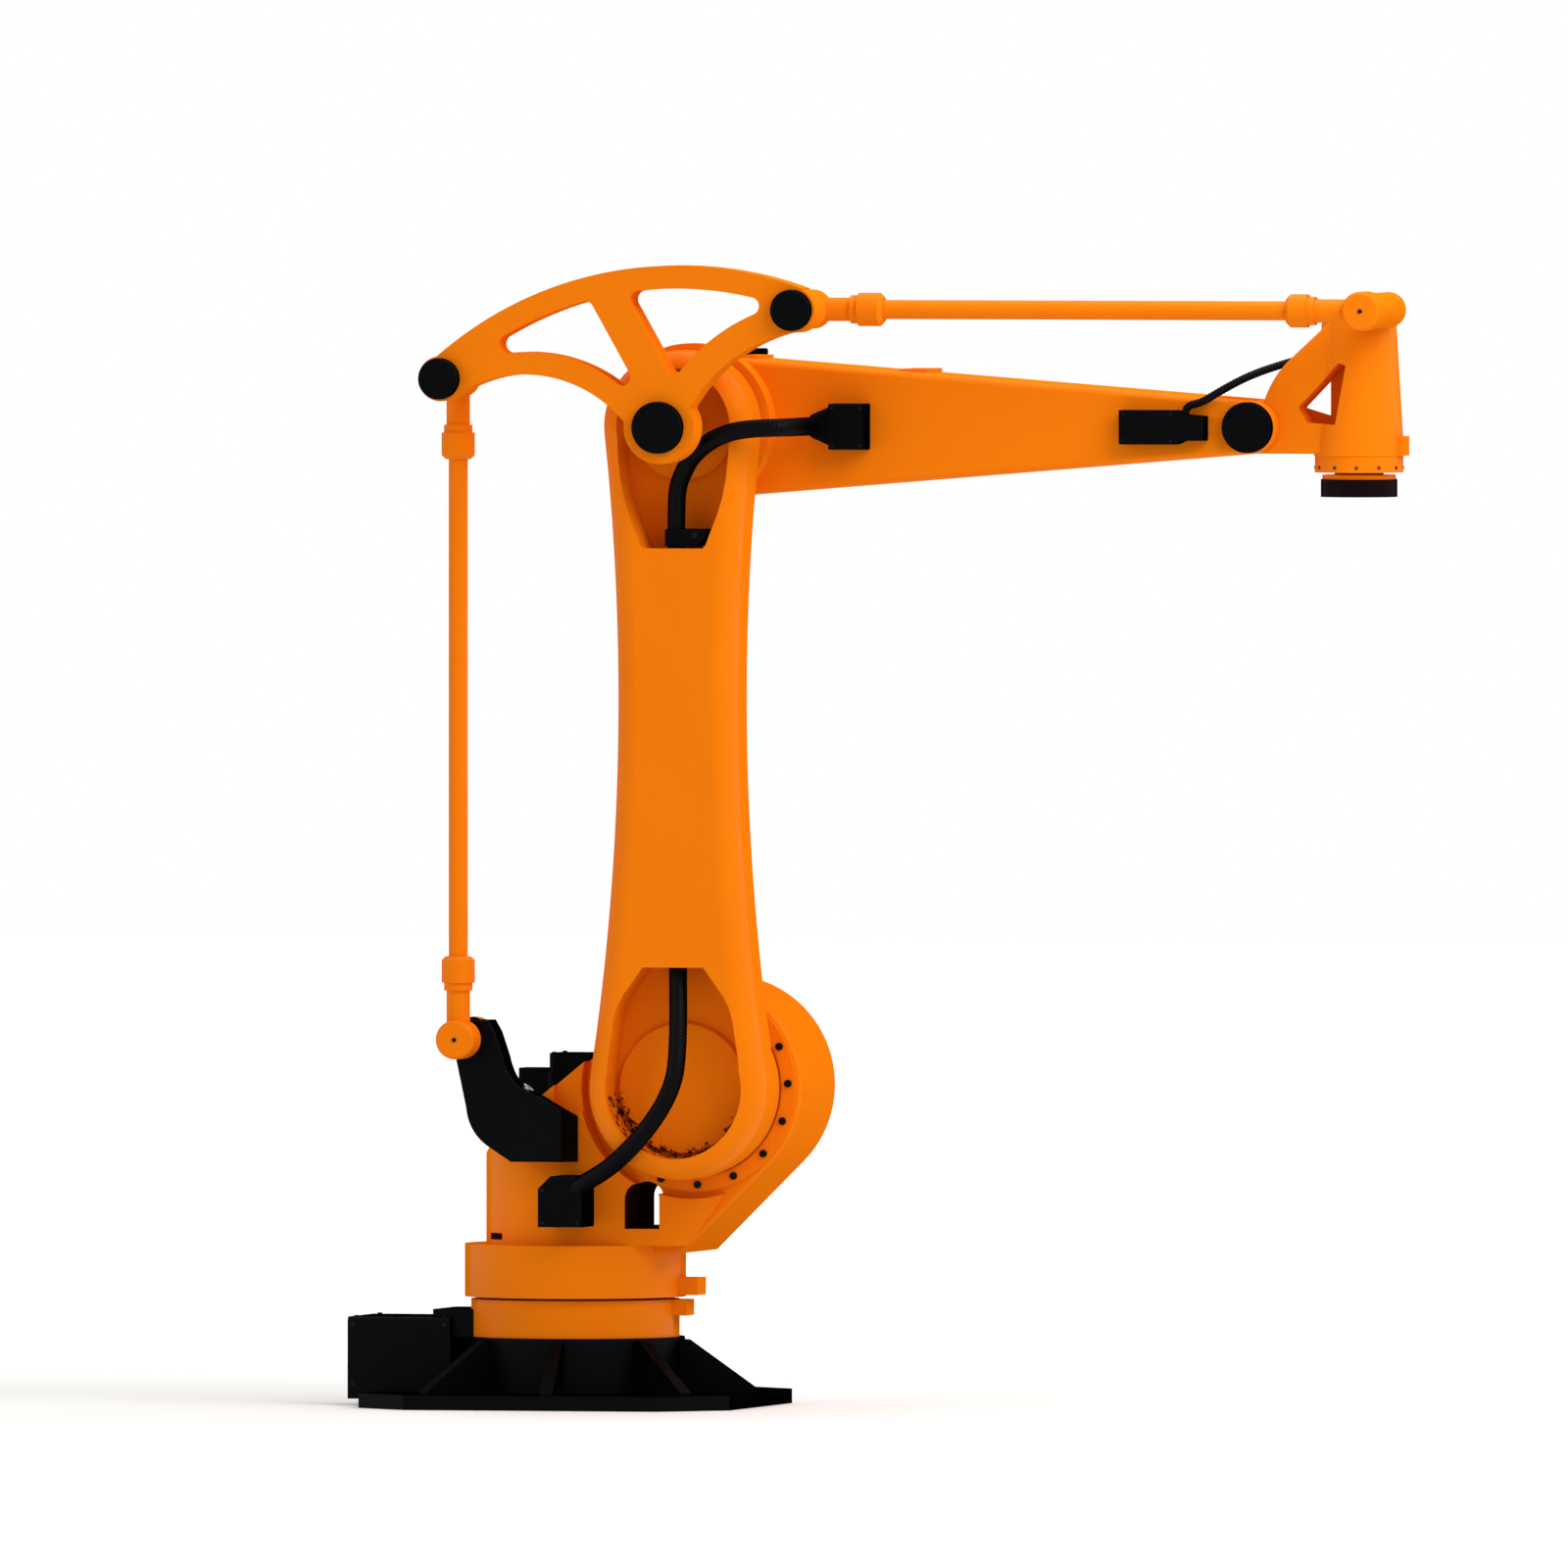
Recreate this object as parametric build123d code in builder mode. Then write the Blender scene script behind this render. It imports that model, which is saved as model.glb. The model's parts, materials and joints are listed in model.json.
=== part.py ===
import math
import os

from build123d import *

os.makedirs("parts", exist_ok=True)

# Axes of the arm, in mm: X runs forward along the arm, Y away from the viewer, Z up
shoulder_x = 280.0
shoulder_z = 655.0
link_length = 1350.0
arm_length = 1160.0
tool_offset = 206.0
flange_drop = 142.0
elbow_x = shoulder_x
elbow_z = shoulder_z + link_length
wrist_x = elbow_x + arm_length
wrist_z = elbow_z
tool_x = wrist_x + tool_offset
flange_face_z = wrist_z - flange_drop

# The two parallel linkages: pin offsets from the axes they copy
rear_pin_x = -459.0
rear_pin_z = 98.0
front_pin_x = 280.0
front_pin_z = 240.0

# Clearances
running_gap = 5.0
pin_clearance = 0.3
tube_clearance = 0.2
eye_gap = 6.0

# Depth of each layer, from the housing in the middle towards the viewer
housing_near = -115.0
housing_far = 185.0
flange_ring_thickness = 10.0
boss_depth = 35.0
link_depth = 135.0
boss_far = housing_near - flange_ring_thickness - running_gap
link_far = boss_far - boss_depth
link_near = link_far - link_depth
rocker_gap = 46.0
rocker_far = link_near - rocker_gap
rocker_thickness = 70.0
rocker_near = rocker_far - rocker_thickness
cap_thickness = 22.0
cap_bevel = 3.0
eye_width = 70.0
rod_inset = 33.0
rod_y = link_near + rod_inset
eye_near = rod_y - eye_width / 2
eye_far = rod_y + eye_width / 2

# Base plate and cast foot
plate_size = 780.0
plate_corner_cut = 125.0
plate_thickness = 30.0
floor_bolt_inset = 20.0
floor_bolt_circle = plate_size - 2 * floor_bolt_inset
floor_bolt_count = 8
floor_bolt_radius = 13.5
foot_radius = 224.0
foot_top = 142.0
rib_inset = 6.0
rib_reach = plate_size / 2 - rib_inset
rib_toe = 5.0
rib_shoulder = 14.0
rib_root = 20.0
rib_thickness = 26.0
rib_angles = (0, 40, -40, 85, -85, 130, -130)
ring_radius = 213.0
ring_top = 219.0
spigot_radius = 150.0
spigot_top = 300.0

# Connection box and cable duct on the back of the foot
box_overhang = 62.0
box_back = -plate_size / 2 - box_overhang
box_front = -foot_radius - 12.0
box_half_width = 112.0
box_top = 182.0
box_skirt = 14.0
box_skirt_lap = 4.0
box_edge_radius = 10.0
box_wall = 18.0
socket_bay_depth = 34.0
socket_size = 74.0
socket_plate = 8.0
socket_collar = 18.0
socket_radius = 30.0
socket_bore = 22.0
socket_spacing = 104.0
socket_height = (plate_thickness + box_top) / 2
duct_half_width = 96.0
duct_top = 198.0
duct_back = 40.0

# Turning stop and turntable
stop_reach = 29.0
stop_half_width = 32.0
stop_height = 33.0
table_radius = 226.0
table_bottom = ring_top + running_gap
table_top = 332.0
tab_reach = 40.0
tab_half_width = 36.0
tab_lift = 4.0
tab_height = 36.0

# Carousel casting
column_radius = 182.0
column_shoulder = 510.0
column_front = 270.0
flank_radius = 180.0
housing_radius = 222.0
housing_round = 8.0
housing_margin = 40.0
skirt_drop = 16.0
bolt_ring_inner = 184.0
bolt_ring_outer = 213.0
stub_radius = 110.0
stub_depth = 60.0
stub_end_gap = 2.0
slot_x = 145.0
slot_width = 70.0
slot_bottom = 366.0
slot_top = 462.0
slot_pocket_y = 84.0
slot_pocket_margin = 55.0
pad_left = -80.0
pad_right = 30.0
pad_bottom = 503.0
pad_top = 606.0
pad_near = -190.0

# Motors
motor_flange_thickness = 16.0
motor_cover_length = 40.0
motor_cover_step = 14.0
motor_corner = 20.0
motor_outlet_width = 64.0
motor_outlet_height = 70.0
motor_outlet_drop = 31.0
motor_x = -20.0
motor_y = 125.0
motor_seat = 470.0
motor_pocket_y = 46.0
motor_pedestal_radius = 86.0
turning_motor_flange = 140.0
turning_motor_body = 124.0
turning_motor_length = 248.0
turning_motor_outlet = 62.0
drive_plate_thickness = 26.0
shoulder_motor_plate = 150.0
shoulder_motor_flange = 170.0
shoulder_motor_body = 140.0
shoulder_motor_length = 270.0
elbow_motor_plate = 130.0
elbow_motor_flange = 160.0
elbow_motor_body = 130.0
elbow_motor_length = 280.0
plain_outlet = 24.0
elbow_motor_outlet = 86.0

# Lever bracket
bracket_near = eye_far + eye_gap
bracket_far = -160.0
bracket_boss = 44.0
bracket_edge = 5.0
bracket_cheek = 20.0
pin_cap_thickness = 40.0
pin_head_inset = 12.0

# Lower cable box
low_box_left = -6.0
low_box_right = 86.0
low_box_bottom = 372.0
low_box_top = 476.0
low_box_cut = 26.0
low_box_back = -186.0
low_box_depth = 104.0
low_box_seat = 14.0

# Link arm
boss_radius = 186.0
head_radius = 155.0
side_radius = 5000.0
link_near_round = 50.0
link_far_round = 12.0
recess_low_radius = 143.0
recess_length = 248.0
recess_low_top = shoulder_z + recess_length
recess_high_radius = 119.0
recess_high_bottom = elbow_z - recess_length
recess_mouth = 64.0
recess_lip = 10.0
recess_depth = 38.0
recess_floor = link_far - recess_depth
duct_width = 92.0
duct_lap = 60.0
duct_skin = 18.0
boss_step = 4.0
elbow_bore = 80.0
elbow_bore_depth = 26.0
cover_low_radius = 134.0
cover_high_radius = 110.0
cover_thickness = 14.0
hub_pin_radius = 26.0
hub_collar = 8.0
hub_collar_length = 12.0

# Hose clamp
clamp_left = -21.0
clamp_right = 65.0
clamp_cut = 20.0
clamp_height = 34.0
clamp_depth = 78.0

# Rocker
hub_radius = 74.0
rocker_boss = 46.0
rocker_stub = 36.0
band_width = 47.0
rear_spoke_width = 46.0
middle_spoke_width = 72.0
front_spoke_width = 58.0
opening_round = 18.0
hub_cap_radius = 53.0
pin_cap_radius = 42.0

# Rods
tube_radius = 19.5
neck_radius = 24.0
collar_radius = 34.0
collar_bevel = 8.0
step_radius = 29.0
step_length = 16.0
eye_radius = 40.0
eye_bevel = 5.0
rod_pin_radius = 20.0
tube_insert = 40.0
tube_end_gap = 2.0
blind_wall = 10.0
collar_high_start = 112.0
collar_high_end = 166.0
collar_low_start = 116.0
collar_low_end = 170.0
collar_rear_start = 104.0
collar_rear_end = 156.0
collar_front_start = 116.0
collar_front_end = 160.0

# Arm
arm_half = 100.0
arm_round = 14.0
arm_root_radius = 147.0
arm_root_drop = 3.0
arm_tip_radius = 54.0
arm_pad_height = 5.0
arm_pad_half_width = 70.0
arm_slot_x = 142.0
arm_slot_drop = 42.0
arm_slot_width = 8.0
arm_slot_height = 26.0
arm_slot_depth = 12.0
drum_radius = 168.0
drum_gap = 8.0
fork_inner = 66.0
fork_back = 92.0
lug_half = fork_inner - running_gap
wrist_pin_radius = 30.0
wrist_cap_radius = 52.0
wrist_cap_thickness = 23.0

# Cable boxes on the arm
box_depth = 58.0
elbow_box_x = elbow_x + 291.0
elbow_box_length = 74.0
elbow_box_y = -arm_half - box_depth / 2
elbow_box_bottom = 48.0
elbow_box_top = 46.0
elbow_box_round = 6.0
hose_neck_length = 42.0
hose_neck_narrow = 46.0
hose_neck_wide = 80.0
wrist_box_x = wrist_x - 264.0
wrist_box_length = 178.0
wrist_box_body = 118.0
wrist_box_bottom = wrist_z - 35.0
wrist_box_top = wrist_z + 35.0
wrist_box_depth = 40.0
wrist_box_taper = 18.0
wrist_box_step = 8.0
wrist_hose_setback = 130.0
wrist_hose_x = wrist_x - wrist_hose_setback
wrist_hose_y = -arm_half - 22.0

# Wrist
wrist_floor = 58.0
wrist_edge = 4.0
cone_bottom_radius = 92.0
cone_top_radius = 76.0
cone_top = 214.0
top_boss_radius = 36.0
far_cheek = 20.0
side_block_reach = 98.0
side_block_half_width = 30.0
side_block_height = 40.0
ring_bolt_radius = 90.0
ring_thickness = 34.0
neck_bore = 50.0
neck_bore_depth = 28.0
flange_neck_radius = 75.0
flange_radius = 78.0
flange_thickness = 36.0
pilot_radius = 40.0
pilot_depth = 8.0
tool_bolt_circle = 125.0
tool_bolt_count = 6
tool_bolt_radius = 5.0
tool_bolt_depth = 24.0

# Hoses
hose_radius = 18.0
hose_y = -250.0
hose_x = elbow_x - 5.0
wrist_hose_radius = 8.5
lower_bend_radius = 75.0
wrist_hose_bend_radius = 50.0
elbow_bend_radius = 45.0
elbow_turn_radius = 34.0

far_out = 700.0


def side_plane(y):
    return Plane.XZ.offset(-y)


def bar(radius, x, z, far, near, mode=Mode.ADD):
    with BuildSketch(side_plane(far)) as disc:
        with Locations((x, z)):
            Circle(radius)
    extrude(disc.sketch, amount=far - near, mode=mode)


def bevelled_bar(radius, x, z, far, near, bevel):
    with BuildSketch(Plane(origin=(x, 0, z), x_dir=(1, 0, 0), z_dir=(0, 0, 1))) as half_section:
        with BuildLine():
            Polyline(
                (0, near),
                (radius - bevel, near),
                (radius, near + bevel),
                (radius, far - bevel),
                (radius - bevel, far),
                (0, far),
                close=True,
            )
        make_face()
    revolve(half_section.sketch, axis=Axis((x, 0, z), (0, 1, 0)))


def post(radius, x, y, bottom, top, mode=Mode.ADD):
    with BuildSketch(Plane.XY.offset(bottom)) as disc:
        with Locations((x, y)):
            Circle(radius)
    extrude(disc.sketch, amount=top - bottom, mode=mode)


def block(x_pair, y_pair, z_pair, mode=Mode.ADD):
    with Locations(((x_pair[0] + x_pair[1]) / 2, (y_pair[0] + y_pair[1]) / 2, (z_pair[0] + z_pair[1]) / 2)):
        Box(x_pair[1] - x_pair[0], y_pair[1] - y_pair[0], z_pair[1] - z_pair[0], mode=mode)


def tube_along(points, bend, radius):
    with BuildLine() as route:
        FilletPolyline(*points, radius=bend)
    with BuildSketch(Plane(route.line @ 0, z_dir=route.line % 0)) as section:
        Circle(radius)
    sweep(section.sketch, path=route.line)


# Base plate with the floor bolt holes
with BuildPart() as base_plate:
    with BuildSketch() as outline:
        Rectangle(plate_size, plate_size)
        chamfer(outline.vertices(), length=plate_corner_cut)
    extrude(amount=plate_thickness)
    with PolarLocations(floor_bolt_circle / 2, floor_bolt_count, start_angle=180 / floor_bolt_count):
        Hole(floor_bolt_radius)
base_plate.part.label = "base_plate"
export_step(base_plate.part, "parts/base_plate.step")

# Cast foot with its ribs
with BuildPart() as base_foot:
    post(foot_radius, 0, 0, plate_thickness, foot_top)
    for rib_angle in rib_angles:
        angle = math.radians(rib_angle)
        rib_plane = Plane(
            origin=(0, 0, 0),
            x_dir=(math.cos(angle), math.sin(angle), 0),
            z_dir=(math.sin(angle), -math.cos(angle), 0),
        )
        with BuildSketch(rib_plane) as rib:
            with BuildLine():
                Polyline(
                    (foot_radius - rib_root, plate_thickness),
                    (rib_reach, plate_thickness),
                    (rib_reach, plate_thickness + rib_toe),
                    (foot_radius + rib_shoulder, foot_top - rib_toe),
                    (foot_radius - rib_root, foot_top - rib_toe),
                    close=True,
                )
            make_face()
        extrude(rib.sketch, amount=rib_thickness / 2, both=True)
base_foot.part.label = "base_foot"
export_step(base_foot.part, "parts/base_foot.step")

# Fixed ring with the spigot that the turntable turns on
with BuildPart() as base_ring:
    post(ring_radius, 0, 0, foot_top, ring_top)
    post(spigot_radius, 0, 0, ring_top, spigot_top)
base_ring.part.label = "base_ring"
export_step(base_ring.part, "parts/base_ring.step")

# Connection box on the back of the foot, with an open bay for the sockets
with BuildPart() as connection_box:
    block((box_back, box_front), (-box_half_width, box_half_width), (plate_thickness, box_top))
    fillet(connection_box.edges().filter_by(Axis.X).group_by(Axis.Z)[-1], radius=box_edge_radius)
    block(
        (box_back, -plate_size / 2 - 2),
        (-box_half_width, box_half_width),
        (box_skirt, plate_thickness + box_skirt_lap),
    )
    block(
        (box_back, box_back + socket_bay_depth),
        (box_wall - box_half_width, box_half_width - box_wall),
        (plate_thickness + box_wall, box_top - box_wall),
        mode=Mode.SUBTRACT,
    )
connection_box.part.label = "connection_box"
export_step(connection_box.part, "parts/connection_box.step")

# Two cable sockets in the bay
socket_seat = box_back + socket_bay_depth
with BuildPart() as cable_sockets:
    for side in (-1, 1):
        with BuildSketch(Plane.YZ.offset(socket_seat)) as socket:
            with Locations((side * socket_spacing / 2, socket_height)):
                RectangleRounded(socket_size, socket_size, 8)
        extrude(socket.sketch, amount=-socket_plate)
        with BuildSketch(Plane.YZ.offset(socket_seat - socket_plate)) as collar:
            with Locations((side * socket_spacing / 2, socket_height)):
                Circle(socket_radius)
                Circle(socket_bore, mode=Mode.SUBTRACT)
        extrude(collar.sketch, amount=-socket_collar)
cable_sockets.part.label = "cable_sockets"
export_step(cable_sockets.part, "parts/cable_sockets.step")

# Cable duct from the box to the fixed ring
with BuildPart() as cable_duct:
    block((box_front - duct_back, -spigot_radius), (-duct_half_width, duct_half_width), (foot_top, duct_top))
    post(ring_radius, 0, 0, foot_top - 1, duct_top + 1, mode=Mode.SUBTRACT)
    block(
        (box_front - duct_back - 1, box_front),
        (-duct_half_width - 1, duct_half_width + 1),
        (foot_top - 1, box_top),
        mode=Mode.SUBTRACT,
    )
cable_duct.part.label = "cable_duct"
export_step(cable_duct.part, "parts/cable_duct.step")

# Stop block on the fixed ring
with BuildPart() as turn_stop:
    block(
        (spigot_radius, ring_radius + stop_reach),
        (-stop_half_width, stop_half_width),
        (ring_top - stop_height, ring_top),
    )
    post(ring_radius, 0, 0, ring_top - stop_height - 1, ring_top + 1, mode=Mode.SUBTRACT)
turn_stop.part.label = "turn_stop"
export_step(turn_stop.part, "parts/turn_stop.step")

# Turntable ring with its stop tab
with BuildPart() as turntable:
    post(table_radius, 0, 0, table_bottom, table_top)
    post(spigot_radius + pin_clearance, 0, 0, table_bottom, spigot_top + 1, mode=Mode.SUBTRACT)
    block(
        (ring_radius, table_radius + tab_reach),
        (-tab_half_width, tab_half_width),
        (table_bottom + tab_lift, table_bottom + tab_lift + tab_height),
    )
turntable.part.label = "turntable"
export_step(turntable.part, "parts/turntable.step")

# Carousel casting: rounded column, sloping flanks, shoulder housing, slot and pads
low_pin_x = shoulder_x + rear_pin_x
low_pin_z = shoulder_z + rear_pin_z
casting_bottom = table_top - skirt_drop
with BuildPart() as carousel_casting:
    with BuildSketch(side_plane(housing_far)) as side_view:
        with Locations((shoulder_x, shoulder_z)):
            Circle(flank_radius)
        with Locations(((column_front - column_radius) / 2, (table_top + column_shoulder) / 2)):
            Rectangle(column_front + column_radius, column_shoulder - table_top)
        make_hull(side_view.edges())
    extrude(side_view.sketch, amount=housing_far + column_radius + 1)
    with BuildSketch(side_plane(housing_far)) as front_view:
        with Locations((shoulder_x, shoulder_z)):
            Circle(housing_radius)
        with BuildLine():
            Polyline(
                (slot_x, table_top),
                (slot_x, casting_bottom),
                (column_front - skirt_drop, casting_bottom),
                (column_front, table_top),
                (column_front, column_shoulder),
                (slot_x, column_shoulder),
                close=True,
            )
        make_face()
        make_hull(front_view.edges())
    extrude(front_view.sketch, amount=housing_far - housing_near)
    with BuildSketch(Plane.XY.offset(casting_bottom)) as plan_view:
        Circle(column_radius)
        with Locations((shoulder_x + housing_margin, (housing_near + housing_far) / 2)):
            Rectangle(2 * (housing_radius - housing_margin), housing_far - housing_near)
        make_hull(plan_view.edges())
    extrude(plan_view.sketch, amount=shoulder_z + housing_radius, mode=Mode.INTERSECT)
    post(table_radius + pin_clearance, 0, 0, casting_bottom - 1, table_top, mode=Mode.SUBTRACT)
    bar(housing_radius + running_gap, shoulder_x, shoulder_z, housing_near, -far_out, mode=Mode.SUBTRACT)
    bar(
        stub_radius + pin_clearance,
        shoulder_x,
        shoulder_z,
        housing_near + stub_depth + stub_end_gap,
        -far_out,
        mode=Mode.SUBTRACT,
    )
    block(
        (-far_out, shoulder_x - housing_radius),
        (motor_pocket_y, far_out),
        (motor_seat, shoulder_z + housing_radius),
        mode=Mode.SUBTRACT,
    )
    block(
        (0, shoulder_x),
        (-far_out, link_far + running_gap),
        (pad_top, shoulder_z + housing_radius),
        mode=Mode.SUBTRACT,
    )
    block((pad_left, pad_right), (pad_near, housing_near), (pad_bottom, pad_top))
    block(
        (low_box_left + low_box_seat, low_box_right - low_box_seat),
        (low_box_back, housing_near),
        (low_box_bottom + low_box_seat, low_box_top - low_box_seat),
    )
    post(motor_pedestal_radius, motor_x, motor_y, table_top, motor_seat)
    with BuildSketch(side_plane(far_out)) as slot:
        with Locations((slot_x + slot_width / 2, (slot_bottom + slot_top - slot_width / 2) / 2)):
            Rectangle(slot_width, slot_top - slot_width / 2 - slot_bottom)
        with Locations((slot_x + slot_width / 2, slot_top - slot_width / 2)):
            Circle(slot_width / 2)
    extrude(slot.sketch, amount=2 * far_out, mode=Mode.SUBTRACT)
    block(
        (slot_x - slot_pocket_margin, slot_x + slot_width + slot_pocket_margin),
        (slot_pocket_y, far_out),
        (slot_bottom, slot_top),
        mode=Mode.SUBTRACT,
    )
    round_edges = carousel_casting.edges().filter_by(GeomType.CIRCLE)
    housing_edges = round_edges.filter_by(lambda edge: abs(edge.radius - housing_radius) < pin_clearance)
    fillet(housing_edges, radius=housing_round)
carousel_casting.part.label = "carousel_casting"
export_step(carousel_casting.part, "parts/carousel_casting.step")

# Bolted ring round the shoulder axis
with BuildPart() as shoulder_ring:
    bar(bolt_ring_outer, shoulder_x, shoulder_z, housing_near, housing_near - flange_ring_thickness)
    bar(bolt_ring_inner, shoulder_x, shoulder_z, housing_near + 1, -far_out, mode=Mode.SUBTRACT)
shoulder_ring.part.label = "shoulder_ring"
export_step(shoulder_ring.part, "parts/shoulder_ring.step")


# Flanged motor along the plane's normal, with a cable outlet on its side
def motor_body(plane, flange, body, length, outlet_reach):
    with BuildSketch(plane) as foot:
        RectangleRounded(flange, flange, motor_corner)
    extrude(foot.sketch, amount=motor_flange_thickness)
    with BuildSketch(plane.offset(motor_flange_thickness)) as case:
        RectangleRounded(body, body, motor_corner)
    extrude(case.sketch, amount=length - motor_flange_thickness - motor_cover_length)
    with BuildSketch(plane.offset(length - motor_cover_length)) as cover:
        RectangleRounded(body - motor_cover_step, body - motor_cover_step, motor_corner - motor_cover_step / 2)
    extrude(cover.sketch, amount=motor_cover_length)
    with BuildSketch(plane.offset(length - motor_outlet_drop - motor_outlet_height)) as outlet:
        with Locations((0, body / 2 + outlet_reach / 2 - motor_corner / 2)):
            RectangleRounded(motor_outlet_width, outlet_reach + motor_corner, motor_corner / 4)
    extrude(outlet.sketch, amount=motor_outlet_height)


# Shoulder motor on the far side of the housing
with BuildPart() as shoulder_motor:
    bar(shoulder_motor_plate, shoulder_x, shoulder_z, housing_far + drive_plate_thickness, housing_far)
    motor_body(
        Plane(
            origin=(shoulder_x, housing_far + drive_plate_thickness, shoulder_z),
            x_dir=(-1, 0, 0),
            z_dir=(0, 1, 0),
        ),
        shoulder_motor_flange,
        shoulder_motor_body,
        shoulder_motor_length,
        plain_outlet,
    )
shoulder_motor.part.label = "shoulder_motor"
export_step(shoulder_motor.part, "parts/shoulder_motor.step")

# Turning motor standing on the carousel, its cable outlet to the rear
with BuildPart() as turning_motor:
    motor_body(
        Plane(origin=(motor_x, motor_y, motor_seat), x_dir=(0, 1, 0), z_dir=(0, 0, 1)),
        turning_motor_flange,
        turning_motor_body,
        turning_motor_length,
        turning_motor_outlet,
    )
turning_motor.part.label = "turning_motor"
export_step(turning_motor.part, "parts/turning_motor.step")

# Lever bracket: a bent arm from the column's pad up to the pin of the rear rod
with BuildPart() as lever_bracket:
    with BuildSketch(side_plane(bracket_far)) as lever:
        with BuildLine():
            Line((low_pin_x - 25, low_pin_z), (low_pin_x + 5, low_pin_z - 141))
            ThreePointArc(
                (low_pin_x + 5, low_pin_z - 141),
                (low_pin_x + 20, low_pin_z - 187),
                (low_pin_x + 51, low_pin_z - 219),
            )
            Polyline(
                (low_pin_x + 51, low_pin_z - 219),
                (pad_left, pad_bottom),
                (pad_right + bracket_cheek, pad_bottom),
                (pad_right + bracket_cheek, pad_top - bracket_cheek / 2),
                (pad_left + 60, pad_top + 31),
            )
            ThreePointArc(
                (pad_left + 60, pad_top + 31),
                (low_pin_x + 106, low_pin_z - 85),
                (low_pin_x + 83, low_pin_z - 37),
            )
            Polyline(
                (low_pin_x + 83, low_pin_z - 37),
                (low_pin_x + 66, low_pin_z + 14),
                (low_pin_x + 52, low_pin_z + 39),
                (low_pin_x, low_pin_z + 39),
                (low_pin_x - 25, low_pin_z),
            )
        make_face()
        with Locations((low_pin_x, low_pin_z)):
            Circle(bracket_boss)
    extrude(lever.sketch, amount=bracket_far - bracket_near)
    fillet(lever_bracket.faces().sort_by(Axis.Y)[0].edges(), radius=bracket_edge)
    with BuildSketch(Plane.XY.offset(pad_bottom - 1)) as cheek:
        with BuildLine():
            Polyline(
                (pad_right - 4, bracket_near),
                (pad_right + bracket_cheek, bracket_near + 2 * bracket_cheek),
                (pad_right + bracket_cheek + 1, bracket_near),
                close=True,
            )
        make_face()
    extrude(cheek.sketch, amount=pad_top - pad_bottom + bracket_cheek, mode=Mode.SUBTRACT)
    block((pad_left, pad_right), (pad_near, 0), (pad_bottom, pad_top), mode=Mode.SUBTRACT)
    post(column_radius + 2, 0, 0, table_top, low_pin_z, mode=Mode.SUBTRACT)
    bar(rod_pin_radius, low_pin_x, low_pin_z, bracket_near, eye_near + pin_head_inset)
lever_bracket.part.label = "lever_bracket"
export_step(lever_bracket.part, "parts/lever_bracket.step")

# Round nut cover on the far end of the lever's pin
with BuildPart() as lever_pin_cap:
    bevelled_bar(bracket_boss, low_pin_x, low_pin_z, bracket_far + pin_cap_thickness, bracket_far, cap_bevel)
lever_pin_cap.part.label = "lever_pin_cap"
export_step(lever_pin_cap.part, "parts/lever_pin_cap.step")

# Cable box low on the carousel, with the hose leaving it towards the link arm
lower_hose_route = [
    (30, -262, 432),
    (128, -290, 480),
    (190, -316, 529),
    (235, -326, 577),
    (268, -326, 625),
    (288, -322, 673),
    (293, -314, 721),
    (291, -296, 792),
    (283, -266, 864),
    (279, -250, 930),
    (280, -250, 962),
]
lower_hose_start = Vector(*lower_hose_route[0])
lower_hose_aim = Vector(*lower_hose_route[1]) - lower_hose_start
with BuildPart() as lower_cable_box:
    with BuildSketch(side_plane(low_box_back)) as box_face:
        with BuildLine():
            Polyline(
                (low_box_left, low_box_bottom),
                (low_box_right, low_box_bottom),
                (low_box_right, low_box_top - low_box_cut / 2),
                (low_box_right - low_box_cut / 2, low_box_top),
                (low_box_left + low_box_cut, low_box_top),
                (low_box_left, low_box_top - low_box_cut),
                close=True,
            )
        make_face()
    extrude(box_face.sketch, amount=low_box_depth)
    with BuildSketch(Plane(lower_hose_start, z_dir=lower_hose_aim)) as hose_hole:
        Circle(hose_radius + tube_clearance)
    extrude(hose_hole.sketch, amount=lower_hose_aim.length, mode=Mode.SUBTRACT)
lower_cable_box.part.label = "lower_cable_box"
export_step(lower_cable_box.part, "parts/lower_cable_box.step")

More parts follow.
